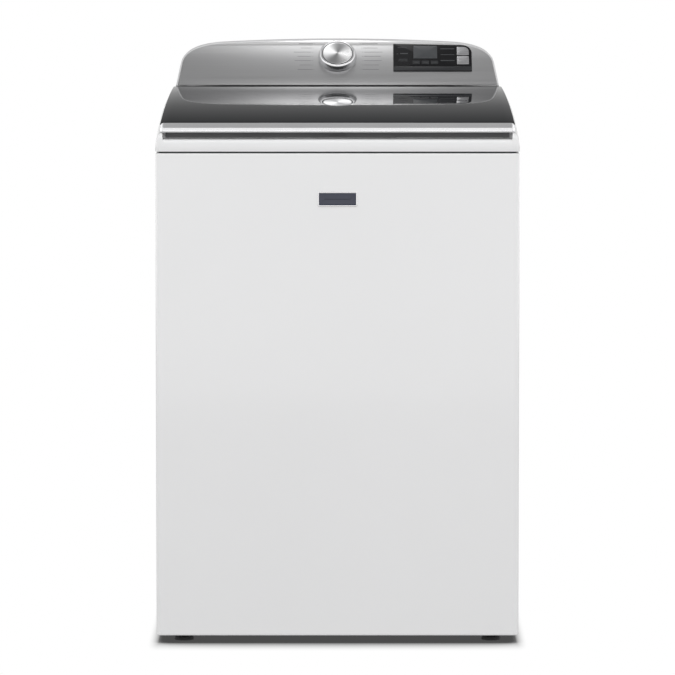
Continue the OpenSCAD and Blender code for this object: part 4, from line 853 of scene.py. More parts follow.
# %% Shape of the console
face_y, face_z, console_z, console_top, console_half = 0.199, 1.055, 1.035, 1.146, 0.330
lean = math.radians(45)
crest_r = 20 * MM
face_len = (console_top - face_z - crest_r * (1 - math.sin(lean))) / math.cos(lean)
crest_y = face_y + face_len * math.sin(lean) + crest_r * math.cos(lean)
knob_v = 78 * MM
display_u0, display_u1, display_v0, display_v1, plate_n = (c * MM for c in (113, 272, 38.5, 110, 1.8))
key_u, key_w, key_h, power_v, start_v = (c * MM for c in (242, 24, 22.5, 82.5, 57))


def on_face(u, v, n):
    """A point of the machine from its place on the console's face."""
    u, v, n = np.broadcast_arrays(u, v, n)
    s, c = math.sin(lean), math.cos(lean)
    return np.stack([u, face_y + v * s - n * c, face_z + v * c + n * s], -1)


def bulge(v):
    """Height of the face's slight bulge over its plane: 0.9 mm at its middle, faded out at both ends."""
    ends = smooth_step(v / (14 * MM)) * smooth_step((face_len - v) / (10 * MM))
    return (0.9 * MM - (v - 67 * MM) ** 2 / (2 * 0.6)) * ends


def half_outline():
    """Half the arch seen from the front, from its foot to the middle of its top, evenly spaced."""
    z_side, z_tip = console_top - 46 * MM, console_top - 6 * MM
    x_side, x_tip = console_half - 0.2 * (z_side - console_z), console_half - 0.2 * (z_tip - console_z)
    a, b, c = np.array([x_side, z_side]), np.array([x_tip, z_tip - 4 * MM]), np.array([x_side - 88 * MM,
                                                                                       z_tip])
    t = np.linspace(0, 1, 30)[1:-1, None]
    bend = a * (1 - t) ** 2 + b * 2 * t * (1 - t) + c * t**2
    x = np.linspace(c[0], 0, 25)
    crest = np.c_[x, z_tip + 6 * MM * (1 - (x / c[0]) ** 2)]
    foot = np.linspace([console_half, console_z], a, 12)
    pts = np.r_[foot, bend, crest]
    s = np.r_[0, np.cumsum(np.linalg.norm(np.diff(pts, axis=0), axis=1))]
    even = np.linspace(0, s[-1], 60)
    return np.c_[np.interp(even, s, pts[:, 0]), np.interp(even, s, pts[:, 1])]


def inset(points, d):
    """Half outline drawn in by d along its normals, kept on the middle line at its last point."""
    t = np.gradient(points, axis=0)
    t[-1] = [-1, 0]
    t /= np.linalg.norm(t, axis=1)[:, None]
    p = points + d * np.c_[-t[:, 1], t[:, 0]]
    p[-1, 0] = 0
    return p


def face_depth(z):
    """Depth of the console's face at a height: lip, bulging slope, then the crest's arc to the top."""
    zs_line = np.linspace(0, face_len, 80)
    line = on_face(0, zs_line, bulge(zs_line))
    top = arc(crest_y, console_top - crest_r, crest_r, 180 - math.degrees(lean), 90, 20)[1:]
    z_all = np.r_[console_z - 0.01, face_z - 3 * MM, line[3:, 2], top[:, 1]]
    y_all = np.r_[face_y, face_y, line[3:, 1], top[:, 0]]
    return np.interp(z, z_all, y_all)


half = half_outline()
print("console face", round(face_len * 1000, 1), "mm long; crest at y", round(crest_y, 4))

# %% Housing as a swept shell
def full_loop(d):
    """The whole arch drawn in by d: right foot over the top to the left foot, then along the base."""
    h = inset(half, d)
    base_x = np.linspace(-h[0, 0], h[0, 0], 40)[1:-1]
    return np.r_[h, (h * [-1, 1])[:-1][::-1], np.c_[base_x, np.full(38, console_z + d)]]


def housing_row(d, back):
    """One row of the housing: the arch drawn in by d, set back from the face by back."""
    p = full_loop(d)
    y = face_depth(np.clip(p[:, 1], console_z, console_top)) + back
    return np.stack([p[:, 0], np.minimum(y, rear_y - 6 * MM), p[:, 1]], -1)


def level_loop(d, y):
    """The arch drawn in by d at one depth."""
    p = full_loop(d)
    return np.stack([p[:, 0], np.full(len(p), y), p[:, 1]], -1)


rim_r = 3 * MM
edge = [housing_row(rim_r * (1 - math.cos(a)), rim_r * (1 - math.sin(a))) for a in np.radians(np.linspace(0,
                                                                                                          90,
                                                                                                          8))]
rows = [level_loop(d * MM, rear_y - back * MM) for d, back in ((1.6, 1.3), (1.2, 0.2), (0.5, 0), (0, 0.8),
                                                               (0, 10))]
rows += edge
rows += [housing_row(3.1 * MM, 0.05 * MM), housing_row(3.15 * MM, 1.45 * MM), housing_row(30 * MM, 1.6 * MM)]
wall = 3 * MM


def pole(y):
    """A row that shrinks to one point in the middle of the arch."""
    return np.tile([[0, y, arch_mid_z]], (len(rows[0]), 1))


arch_mid_z = 1.09
seat, face_t = 1.6 * MM, wall * 1.4
front_pole = face_depth(arch_mid_z) + seat
rows += [pole(front_pole), pole(front_pole + face_t), housing_row(30 * MM, seat + face_t),
         housing_row(wall + 1 * MM, seat + face_t), level_loop(wall, rear_y - 8 * MM),
         level_loop(wall, rear_y - 1.3 * MM)]
P = np.stack(rows)


def through_face(o, *outlines, depth=12 * MM):
    """Cuts ways of given (u, v) outlines through whatever lies on the console's face."""
    tools = []
    for k, q in enumerate(outlines):
        loop = np.stack([on_face(q[:, 0], q[:, 1], n) for n in (-depth, 0.02)])
        tools.append(piece(f"way_{k}", loop, capped_quads(loop), None, white_deck))
    cut(o, *tools)


def face_rect(u0, u1, v0, v1, r, big=None):
    """A rounded rectangle in (u, v), anticlockwise from its right-hand top, whose corner may be larger."""
    R = [big or r, r, r, r]
    cx = [u1 - R[0], u0 + R[1], u0 + R[2], u1 - R[3]]
    cy = [v1 - R[0], v1 - R[1], v0 + R[2], v0 + R[3]]
    return np.concatenate([arc(cx[k], cy[k], R[k], 90 * k, 90 * k + 90, 9) for k in range(4)])


def key_outline(v0, grow, big=None):
    """A key's outline that starts at v0, grown all round; the power key has one large corner."""
    return face_rect(key_u - grow, key_u + key_w + grow, v0 - grow, v0 + key_h + grow,
                     1.5 * MM + 0.75 * grow, big and big + grow)


key_ways = [key_outline(power_v, 0.4 * MM, 11 * MM), key_outline(start_v, 0.4 * MM)]
stem_way = arc(0, knob_v, 8.1 * MM, 0, 360, 41)[:-1]
piece("console_shell", P, closed_quads(P), "cabinet", console_grey, "console_plastic", ("console_housing",),
      sharp=44, after=lambda o: through_face(o, stem_way, *key_ways))

# %% [markdown]
# The fascia is a thin brushed sheet that lies in the housing's rim. It is a grid of level rows:
# each row runs from one side of the drawn-in arch to the other at one height.

# %% Brushed fascia
h = inset(half, 3.2 * MM)
low = face_z + 1.5 * MM
keep = h[:, 1] > low + 0.4 * MM
edge_x = np.r_[np.interp(low, h[:, 1], h[:, 0]), h[keep, 0]]
edge_z = np.r_[low, np.maximum.accumulate(h[keep, 1])]
edge_x[-1] = 0.0
u = np.r_[-1, -0.998, -0.99, np.linspace(-0.97, 0.97, 61), 0.99, 0.998, 1]
X = edge_x[:, None] * u
Z = np.repeat(edge_z[:, None], len(u), 1)
up = np.minimum(edge_z - low, edge_z[-1] - edge_z + 0.3 * MM)[:, None]
dist = np.minimum(edge_x[:, None] - np.abs(X), up)
edge_roll = 0.15 * MM
roll = edge_roll * quarter(1 - np.clip(dist, 0, 1) / edge_roll)
Y = face_depth(Z) + roll
top = np.stack([X, Y, Z], -1)
under = np.stack([X, face_depth(Z) + 1.5 * MM, Z], -1)
piece("brushed_fascia", *slab(top, under), "cabinet", fascia_metal, "console_metal", ("console_fascia",),
      sharp=50, after=lambda o: through_face(o, stem_way, *key_ways))


# %% [markdown]
# The knob is two turned parts: a flared ring that turns to pick a cycle, and a push button in its
# middle. Both are profiles turned round an axis, then laid onto the leaning face. The button's top
# is spun metal, whose tiny circular lines make bright wedges: anisotropy with tangents that run
# round the middle, taken from a UV map whose u follows the circle. The same map also paints two
# soft pale wedges into the metal's colour, where a showroom's lamps would light it.

# %% Turned pieces on the console's face
def on_knob_axis(profile):
    """A closed (radius, height) profile turned round the face's normal through the knob's middle."""
    pts, faces = lathe(profile, 144)
    return on_face(pts[..., 0], knob_v + pts[..., 1], pts[..., 2]), faces


knob_n = 1.0 * MM
flare = np.array([[8.06, 0.6], [38, 0.6], [38.7, 0.75], [39, 1.3], [38.95, 2.2], [38.75, 3.3], [38.4, 4.6],
                  [37.9, 6], [37.4, 7.4], [36.9, 8.8], [36.5, 9.8], [36.0, 10.7], [35.2, 11.4], [34.2, 11.85],
                  [33.2, 12], [32.3, 11.9], [31.7, 11.5], [31.35, 11.0], [31.35, 4], [8.06, 4]]) * MM
flare[:, 1] += knob_n - 0.4 * MM
piece("knob_flared_ring", *on_knob_axis(flare), "knob", knob_chrome, "knob_ring_metal", ("knob_ring",),
      sharp=40)

button_n, button_crown = 13.4 * MM, 0.35 * MM
out = np.linspace(2, 28.6, 14)
cap = np.r_[[[0.02, 0.35]], np.c_[out, 0.35 - 0.35 * (out / 28.6) ** 2],
            [[29.2, -0.15], [29.5, -0.45], [29.6, -1.6], [31, -1.7], [31, -5.4], [5, -5.4], [5, -18],
             [0.02, -18]]] * MM
cap[:, 1] += button_n - button_crown
button = piece("knob_spun_button", *on_knob_axis(cap), "knob_push", knob_chrome, "knob_metal",
               ("knob_button",), sharp=35)


def polar_uv(o, u0, v0):
    """UV map whose first value is the turn round a point of the face, and second the distance from it."""
    mesh = o.data
    at = np.empty(len(mesh.vertices) * 3)
    mesh.vertices.foreach_get("co", at)
    corner = np.empty(len(mesh.loops), int)
    mesh.loops.foreach_get("vertex_index", corner)
    p = at.reshape(-1, 3)[corner] - on_face(u0, v0, 0.0)
    a, b = p[:, 0], p[:, 1] * math.sin(lean) + p[:, 2] * math.cos(lean)
    turn = np.arctan2(b, a) / (2 * math.pi)
    first = np.empty(len(mesh.polygons), int)
    mesh.polygons.foreach_get("loop_start", first)
    total = np.empty(len(mesh.polygons), int)
    mesh.polygons.foreach_get("loop_total", total)
    lead = np.repeat(turn[first], total)
    turn = turn - np.round(turn - lead)
    layer = mesh.uv_layers.new(name="turn")
    layer.data.foreach_set("uv", np.c_[turn, np.hypot(a, b) / 0.05].ravel())


# A dark ring in the step round the button: painted shade for the shadowed gap between the button and the
# flared ring.
gap_shade = np.array([[29.5, -1.9], [30.9, -1.9], [30.9, -1.0], [29.5, -1.0]]) * MM
gap_shade[:, 1] += button_n - button_crown
piece("knob_groove_ring", *on_knob_axis(gap_shade), "knob_push", dark_satin, "dark_plastic", sharp=35)


polar_uv(button, 0.0, knob_v)
spun = finish("spun metal face", (0.70, 0.70, 0.71), 0.27, metallic=1.0, scale=500, bump=0.02, tone=0.02,
              anisotropy=0.75)
tangent = spun.node_tree.nodes.new("ShaderNodeTangent")
tangent.direction_type = "UV_MAP"
tangent.uv_map = "turn"
t = spun.node_tree
t.links.new(tangent.outputs[0], t.nodes["Principled BSDF"].inputs["Tangent"])
# painted highlight: two pale wedges mixed into the button's colour by the turn round its middle, where the
# lamps' wedges fall
turn_map = t.nodes.new("ShaderNodeUVMap")
turn_map.uv_map = "turn"
split = t.nodes.new("ShaderNodeSeparateXYZ")
t.links.new(turn_map.outputs[0], split.inputs[0])
angle = math_node(t, "MULTIPLY", split.outputs["X"], 4 * math.pi)
angle = math_node(t, "SUBTRACT", angle, math.radians(310))
painted_wedges = math_node(t, "MULTIPLY_ADD", math_node(t, "COSINE", angle), 0.5, 0.5)
mix_colour(t, painted_wedges, (0.36, 0.36, 0.365), (0.95, 0.95, 0.955))
button.data.materials[0] = spun
print("knob stands", round(float(button_n * 1000), 1), "mm off the face")

# %% [markdown]
# The display is a gloss black plate with one large round corner, where it follows the console's
# outline. It stands a little off the face. Flat plates of this kind are an outline in (u, v) that
# is filled in rings towards its middle, so the rim can be rounded and the face stays flat.

# %% Plates on the face
def plate(name, outline, n0, n1, body, material, slot=None, stands_for=(), rim=0.4 * MM, after=None):
    """A flat plate on the console's face between heights n0 and n1, with a rounded upper rim."""
    c = outline.mean(0)
    a = np.radians(np.linspace(0, 90, 4))
    size = np.abs(outline - c).max(0)

    def ring(d, n):
        """The outline shrunk by d, at height n."""
        q = c + (outline - c) * np.maximum(1 - d / size, 0)
        return on_face(q[:, 0], q[:, 1], n)

    rows = [ring(size, n0), ring(0, n0), ring(0, n1 - rim)]
    rows += [ring(rim * (1 - math.cos(t)), n1 - rim + rim * math.sin(t)) for t in a[1:]]
    rows += [ring(size, n1)]
    P = np.stack(rows)
    return piece(name, P, quads(len(P), len(outline), wrap_cols=True), body, material, slot, stands_for,
                 sharp=50, after=after)


outline = face_rect(display_u0, display_u1, display_v0, display_v1, 1.2 * MM, 20 * MM)
slope = 4 * MM * (1 - (outline[:, 0] - display_u0) / (display_u1 - display_u0))
outline[:, 1] += slope * np.clip((outline[:, 1] - display_v0) / (display_v1 - display_v0), 0, 1)
plate("display_plate", outline, -1.2 * MM, plate_n, "cabinet", display_gloss, "display_black",
      ("display_panel",), after=lambda o: through_face(o, *key_ways))
band = face_rect(display_u0 + 1 * MM, display_u1 - 1 * MM, display_v0 + 0.6 * MM, 51 * MM, 1.0 * MM)
plate("display_lower_band", band, plate_n - 0.1 * MM, plate_n + 0.15 * MM, "cabinet", smoked_film,
      "display_black", rim=0.05 * MM)
plate("display_window", face_rect(154 * MM, 202 * MM, 73 * MM, 108 * MM, 1.0 * MM), plate_n - 0.2 * MM,
      plate_n + 0.2 * MM, "cabinet", lcd_film, "lcd_grey", ("display_lcd",), rim=0.1 * MM)
for name, v0, key_round, node in (("power_key", power_v, 11 * MM, "power_button"),
                                  ("start_key", start_v, None, "start_button")):
    plate(name, key_outline(v0, 0.0, key_round), -3.9 * MM, 2.4 * MM, name, key_metal, "key_silver", (node,),
          rim=0.6 * MM)


# %% [markdown]
# The print on the fascia and on the display is left as plain dashes: no words and no marks. Each
# dash is a bar a tenth of a millimetre high, since ink has an edge that a light catches.

# %% Printed dashes
def dashes(name, rows, height, material, top):
    """Closed bars from (u0, u1, v0, v1) rows; top gives the surface's height at v."""
    r = np.asarray(rows) * MM
    cube = np.array([[0, 0, 0], [1, 0, 0], [1, 1, 0], [0, 1, 0], [0, 0, 1], [1, 0, 1], [1, 1, 1], [0, 1, 1]])
    u = r[:, None, 0] + (r[:, 1] - r[:, 0])[:, None] * cube[:, 0]
    v = r[:, None, 2] + (r[:, 3] - r[:, 2])[:, None] * cube[:, 1]
    n = top(v) - 0.3 * MM + (0.3 * MM + height) * cube[:, 2]
    six = np.array([[0, 3, 2, 1], [4, 5, 6, 7], [0, 1, 5, 4], [1, 2, 6, 5], [2, 3, 7, 6], [3, 0, 4, 7]])
    faces = (np.arange(len(r))[:, None, None] * 8 + six).reshape(-1, 4)
    return piece(name, on_face(u, v, n), faces, "cabinet", material, sharp=30)


widths = [30, 24, 33, 27, 35, 22, 29]
rows = []
for k, w_mm in enumerate(widths):
    v = 44 + 12 * k
    near = 46 + 8 * math.sqrt(max(0, 1 - ((v - 78) / 42) ** 2))
    rows += [[-near - w_mm, -near, v - 0.6, v + 0.6], [near, near + w_mm + (7 if k % 2 else 3), v - 0.6,
                                                       v + 0.6]]
    rows += [[-near + 2.2, -near + 3.6, v - 0.7, v + 0.7], [near - 3.6, near - 2.2, v - 0.7, v + 0.7]]
dashes("cycle_dashes", rows, 0.08 * MM, print_grey, bulge)
rows = [[152, 167, 57.5, 67], [170.5, 185.5, 57.5, 67], [189, 204, 57.5, 67]]
dashes("option_blocks", rows, 0.12 * MM, smoked_film, lambda v: plate_n + 0 * v)
rows = [[122, 141, 102, 103.6], [120, 123, 85, 86.6], [127, 143, 85, 88], [124, 142, 70, 71.6],
        [124, 142, 65.6, 67], [209, 237, 98.5, 101], [209, 237, 82.6, 84.2], [209, 237, 66, 68.4],
        [155, 164, 61.6, 62.9], [173.5, 182.5, 61.6, 62.9], [192, 201, 61.6, 62.9]]
dashes("display_dashes", rows, 0.16 * MM, print_pale, lambda v: plate_n + 0 * v)

# %% [markdown]
# A threaded part is a tube whose radius rises and falls along a helix. On a grid of height and
# angle the helix is one formula: the radius depends on height over pitch minus angle over a turn.
# The thread is faded out at both ends, as a cut thread runs out.

# %% Threads
def threaded(r, depth, pitch, h0, h1, bore=0.0, cols=40, per_turn=6):
    """Points and faces of a threaded bar or tube: radius r - depth * triangle(h / pitch - t / turn)."""
    n = int((h1 - h0) / pitch * per_turn) + 1
    h = np.linspace(h0, h1, n)[:, None]
    t = np.linspace(0, 2 * math.pi, cols, endpoint=False)[None]
    phase = (h / pitch - t / (2 * math.pi)) % 1
    wave = np.clip(np.abs(phase * 2 - 1) * 1.6 - 0.3, 0, 1)
    fade = np.clip(np.minimum(h - h0, h1 - h) / (0.8 * pitch), 0, 1)
    R = r - depth * (wave * fade + (1 - fade))
    outer = np.stack([R * np.cos(t), R * np.sin(t), h + 0 * t], -1)
    inner_r = max(bore, 1e-5)
    ring = np.stack([inner_r * np.cos(t), inner_r * np.sin(t), 0 * t], -1)
    P = np.concatenate([ring + [0, 0, h0], outer, ring + [0, 0, h1]])
    return P, closed_quads(P)


def join_meshes(*parts):
    """Several (points, faces) sets as one."""
    pts, faces, at = [], [], 0
    for p, f in parts:
        p = np.asarray(p).reshape(-1, 3)
        pts.append(p)
        faces += [[i + at for i in q] for q in np.asarray(f).tolist()]
        at += len(p)
    return np.concatenate(pts), faces


ports = []
for x in inlet_xs:
    for part in (threaded(13.2 * MM, 1.15 * MM, 2.2 * MM, 8 * MM, 26 * MM, 9 * MM, 56, 7),
                 lathe(np.array([[9, 0], [16.2, 0], [16.7, 0.5], [16.7, 2.5], [16.2, 3], [13, 3], [12.4, 3.6],
                                 [12.4, 8.2], [9, 8.2]]) * MM, 56)):
        ports.append((along_y(part[0], x, inlet_z, rear_y - 6 * MM), part[1]))
piece("threaded_inlets", *join_meshes(*ports), "cabinet", port_blue, "port_blue", ("inlet_ports",), sharp=35)
barbs = np.array([[12, -14], [15, -14], [15, 0.4], [22.4, 0.4], [23, 1], [23, 2.4], [22.4, 3], [15.6, 3],
                  [14.2, 3.6], [14.2, 6.4], [15, 6.8], [13.6, 11.6], [15, 12], [13.6, 16.8], [15, 17.2],
                  [13.7, 19.4], [13.2, 20], [12.4, 20], [12, 19.6]]) * MM
pts, faces = lathe(barbs, 72)
piece("barbed_drain_port", along_y(pts, drain_at[0], drain_at[1], rear_y), faces, "cabinet", dark_satin,
      "dark_plastic", ("drain_port",), sharp=40)

# %% [markdown]
# A levelling leg is a rubber shod pad on a threaded stud with a lock nut. The nut is a hexagon with
# chamfered corners: a circle's radius, cut down to the distance of the hexagon's flats.

# %% Levelling legs
stud_r, nut_flat, thread_pitch = 4.95 * MM, 8.2 * MM, 1.5 * MM


def hexagon_rows(flat, rows):
    """Rows of (radius, height) clipped to a hexagon with the given distance of its flats."""
    t = np.linspace(0, 2 * math.pi, 48, endpoint=False)
    side = flat / np.cos((t + math.pi / 6) % (math.pi / 3) - math.pi / 6)
    r, h = rows[:, :1], rows[:, 1:]
    r = np.minimum(side, r)
    P = np.stack([r * np.cos(t), r * np.sin(t), h + 0 * t], -1)
    return P, closed_quads(P)


pad = np.array([[0.02, 0], [17.5, 0], [18.6, 0.4], [19, 1.4], [18.9, 2.2], [18.5, 2.5], [18.75, 3],
                [18.3, 4.6], [17.4, 6.2], [16.2, 7], [10, 7], [0.02, 7]]) * MM
nut_rows = np.array([[0.02, 6.9], [8.4, 6.9], [9.4, 7.5], [9.5, 10.9], [8.6, 11.5], [0.02, 11.5]]) * MM
nut = hexagon_rows(nut_flat, nut_rows)
for name in ("front_left", "front_right", "rear_left", "rear_right"):
    lo, hi = node_box("leg_" + name)
    at = np.r_[(lo[:2] + hi[:2]) / 2, 0]
    stud = threaded(stud_r, 0.6 * MM, thread_pitch, 11 * MM, hi[2], 0.0, 28, 5)
    p, f = join_meshes(lathe(pad, 56), nut, stud)
    piece("screw_leg_" + name, p + at, f, name + "_leg", black_rubber, "rubber_black", ("leg_" + name,),
          sharp=40)


# %% [markdown]
# The badge on the front is a plain dark plate in a bright rim. Its rim is a rounded section carried
# round a rounded rectangle, which catches a thin line of light along its upper edge.

# %% Badge without a mark
badge_lo, badge_hi = node_box("nameplate_frame")
badge_c = (badge_lo + badge_hi) / 2
badge_w, badge_h = badge_hi[0] - badge_lo[0], badge_hi[2] - badge_lo[2]


def badge_row(d, out):
    """The badge's rounded rectangle drawn in by d, standing out from the sheet."""
    q = round_rect(badge_w - 2 * d, badge_h - 2 * d, max(3 * MM - d, 0.4 * MM))
    return np.stack([q[:, 0], np.full(len(q), front_y - out), q[:, 1] + badge_c[2]], -1)


rim_section = ((0, 0), (0, 1.2), (0.25, 1.7), (0.8, 2), (1.5, 1.95), (2.1, 1.7), (2.45, 1.3), (2.45, 0.2),
               (2.45, 0))
P = np.stack([badge_row(d * MM, z * MM) for d, z in rim_section])
piece("badge_rim", P, closed_quads(P), "cabinet", trim_silver, "bright_trim", ("nameplate_frame",), sharp=50)
plate_section = ((13.9, 0.05), (2.5, 0.05), (2.5, 1.3), (2.8, 1.55), (4.2, 1.6), (13.9, 1.6))
P = np.stack([badge_row(d * MM, z * MM) for d, z in plate_section])
piece("badge_plate", P, capped_quads(P), "cabinet", plate_gloss, "plate_dark", ("nameplate_face",), sharp=50)

# %% [markdown]
# The detergent cup hangs in the deck by its flange, which follows the deck's slope. It is a loft of
# rounded squares, down the outside, over the flange and down the inside to a dished floor.

# %% Detergent cup
cup_z = tray_lo[2]


def cup_row(half_side, height, on_deck):
    """A rounded square; its height is above the deck's slope, or above the cup's underside."""
    q = round_rect(2 * half_side, 2 * half_side, min(10 * MM, half_side * 0.9), tray_c[:2])
    z = deck_height(q[:, 0], q[:, 1]) + height if on_deck else np.full(len(q), cup_z + height)
    return np.c_[q, z]


cup = [(0.02, 0, 0), (31, 0, 0), (34.5, 1.4, 0), (36, 5, 0), (36.1, -0.4, 1), (36.3, 0.05, 1),
       (39.5, 0.05, 1), (39.5, 1.2, 1), (38.9, 1.7, 1), (36.5, 1.75, 1), (34.9, 1.3, 1), (34.2, -0.5, 1),
       (33.4, 7, 0), (31.5, 3.6, 0), (28, 2.4, 0), (14, 2.0, 0), (0.02, 1.9, 0)]
P = np.stack([cup_row(a * MM, b * MM, c) for a, b, c in cup])
piece("detergent_cup", P, closed_quads(P), "cabinet", white_satin, "white_plastic", ("detergent_tray",),
      sharp=40)

# %% [markdown]
# The basket is a drum of stainless sheet with some 1400 punched holes. Every hole is one small tile
# of eight quads, repeated by index arithmetic and bent round the drum, so the light really passes
# through. Soft upright flutes stiffen the sheet, and the rim is rolled.

# %% Perforated basket
basket_lo, basket_hi = node_box("basket_wall")
tub_axis = np.array([0.0, (basket_lo[1] + basket_hi[1]) / 2])
drum_r, drum_z0, drum_z1 = basket_hi[0], basket_lo[2], basket_hi[2]
across_n, up_n, hole_r = 72, 19, 2.6 * MM
z_first, z_last = drum_z0 + 60 * MM, drum_z1 - 44 * MM
tile_h = (z_last - z_first) / up_n
tile_w = 2 * math.pi * drum_r / across_n
square = np.array([[0, 0], [0.5, 0], [1, 0], [1, 0.5], [1, 1], [0.5, 1], [0, 1], [0, 0.5]])
turn8 = np.radians(225 + 45 * np.arange(8))
hole = np.c_[0.5 + hole_r / tile_w * np.cos(turn8), 0.5 + hole_r / tile_h * np.sin(turn8)]


def drum(turn, z, depth):
    """A point of the drum: flutes of 1.8 mm, 24 round it, die out towards the rims; depth goes inwards."""
    ends = smooth_step((z - z_first) / 0.03) * smooth_step((z_last - z) / 0.03)
    flute = 0.9 * MM * (1 - np.cos(turn * 24)) * ends
    r = drum_r - flute - depth
    return np.stack([r * np.cos(turn), tub_axis[1] + r * np.sin(turn), z], -1)


I, J = np.meshgrid(np.arange(across_n), np.arange(up_n), indexing="ij")
origin = np.stack([I, J], -1).reshape(-1, 1, 2)
cells = origin + np.concatenate([square, hole])[None]
turn_c = cells[..., 0] / across_n * 2 * math.pi
z_c = z_first + cells[..., 1] * tile_h
outside, inside = drum(turn_c, z_c, 0.0), drum(turn_c, z_c, 1.2 * MM)
P = np.concatenate([outside, inside], 1)
k = np.arange(8)
k2 = (k + 1) % 8
tile_faces = np.concatenate([np.stack([k, k2, k2 + 8, k + 8], -1),
                             np.stack([k + 24, k2 + 24, k2 + 16, k + 16], -1),
                             np.stack([k + 8, k2 + 8, k2 + 24, k + 24], -1)])
faces = (np.arange(len(P))[:, None, None] * 32 + tile_faces).reshape(-1, 4)
around_n = across_n * 2
turn_r = np.arange(around_n) / around_n * 2 * math.pi


def plain_rows(stops):
    """Rings of the unpunched sheet from (height, depth) stops."""
    return np.stack([drum(turn_r, np.full(around_n, z), d) for z, d in stops])


lower = plain_rows([(z_first, 0), (drum_z0 + 20 * MM, 0), (drum_z0, 0), (drum_z0, 1.2 * MM),
                    (drum_z0 + 20 * MM, 1.2 * MM), (z_first, 1.2 * MM)])
upper = plain_rows([(z_last, 1.2 * MM), (z_last + 3 * MM, 1.2 * MM), (drum_z1 - 1 * MM, 1.2 * MM),
                    (drum_z1 - 0.3 * MM, 0.9 * MM), (drum_z1, 0.6 * MM), (drum_z1 - 0.3 * MM, 0.25 * MM),
                    (drum_z1 - 1 * MM, 0), (z_last + 3 * MM, 0), (z_last, 0)])
piece("perforated_drum", *join_meshes((P, faces), (lower, quads(6, around_n, wrap_cols=True)),
                                      (upper, quads(9, around_n, wrap_cols=True))),
      "basket", stainless, "stainless", ("basket_wall",), sharp=40)

# %% [markdown]
# The balance ring is a hollow plastic ring filled with brine, welded to the drum's rim. From above
# it is the broad white lip with shallow steps that one sees first when the lid stands open.

# %% Balance ring
ring_z = node_box("balance_ring")[0][2]
ring = np.array([[237.5, 812], [238.2, 809], [241, 808], [270, 808], [272.6, 809.5], [272.8, 843],
                 [274.6, 843.6], [274.8, 845], [274.7, 848.6], [273.6, 849.8], [270, 850], [262, 849.9],
                 [260.5, 849.2], [259.5, 848], [252, 847.4], [250.8, 848.2], [249.6, 849.6],
                 [246, 850], [242, 849.4], [239.2, 847.6], [237.8, 844.4], [237.5, 840]])
ring[:, 1] += ring_z * 1000 - 808
pts, faces = lathe(ring * MM, 160)
piece("brine_ring", pts + np.r_[tub_axis, 0], faces, "basket", white_satin, "white_plastic",
      ("balance_ring",), sharp=40)

# %% [markdown]
# The impeller at the bottom is a shallow moulded disc with six raised swirls and a domed cap. Its
# top is one height field on a polar grid: a rising cone plus six soft ridges whose middle lines
# lean back along a spiral, and a ring of small drain dimples. Its underside follows it.

# %% Impeller
disc_lo, disc_hi = node_box("impeller")
disc_r, disc_z = disc_hi[0], disc_lo[2]
r_grid = np.r_[np.linspace(9.2, 60, 18), np.linspace(64, 224, 46), 228, 231, 233, 234.3] * MM
t_grid = np.linspace(0, 2 * math.pi, 288, endpoint=False)
R, T = np.meshgrid(r_grid, t_grid, indexing="ij")
t_in = np.clip((disc_r - R) / (disc_r - 50 * MM), 0, 1)
cone = 12 * MM + 24 * MM * t_in**2.2
lean_back = 0.55 * (1 - R / disc_r)
spread = (T - lean_back + math.pi / 6) % (math.pi / 3) - math.pi / 6
width = 13 * MM + 0.05 * R
ridge = np.exp(-((spread * R / width) ** 2) * 1.2)
ridge_h = 15 * MM * smooth_step((R - 34 * MM) / (26 * MM)) * smooth_step((226 * MM - R) / (70 * MM))
between = (spread + math.pi / 3) % (math.pi / 3) - math.pi / 6
minor = np.exp(-((between * R / (9 * MM)) ** 2)) * 3.5 * MM
minor = minor * smooth_step((R - 90 * MM) / (30 * MM)) * smooth_step((215 * MM - R) / (40 * MM))
cap_d = 13.5 * MM * (1 - smooth_step((R - 30 * MM) / (16 * MM)))
dimple_r = disc_r - 34 * MM
dimple_turn = 2 * math.pi / 36
near = np.hypot(R - dimple_r, ((T / dimple_turn + 0.5) % 1 - 0.5) * dimple_turn * dimple_r)
dimples = 2.4 * MM * (1 - smooth_step((near - 1.6 * MM) / (1.8 * MM)))
H = cone + np.maximum(ridge * ridge_h, minor) + cap_d - dimples
H = np.minimum(H, disc_hi[2] - disc_z - 0.1 * MM)
edge_fall = 2.5 * MM * quarter((R - disc_r + 6 * MM) / (6 * MM))
top = np.stack([R * np.cos(T), R * np.sin(T) + tub_axis[1], disc_z + H - edge_fall], -1)
floor_h = np.where(R < 46 * MM, np.minimum(H - 5 * MM, 0.5 * MM), np.maximum(cone - 6 * MM, 0.5 * MM))
under = np.stack([R * np.cos(T), R * np.sin(T) + tub_axis[1], disc_z + floor_h], -1)
P = np.concatenate([top, under[::-1]])
piece("swirl_impeller", P, closed_quads(P), "drive", impeller_plastic, "impeller_grey", ("impeller",),
      sharp=55)

# %% [markdown]
# The remaining nodes keep their CAD shape: brackets, bearings, the motor, the pump and other parts inside the
# cabinet. Each one gets its finish in its object's material slots; the lid bumpers' dark grey is partly
# painted shade in the finger recess.

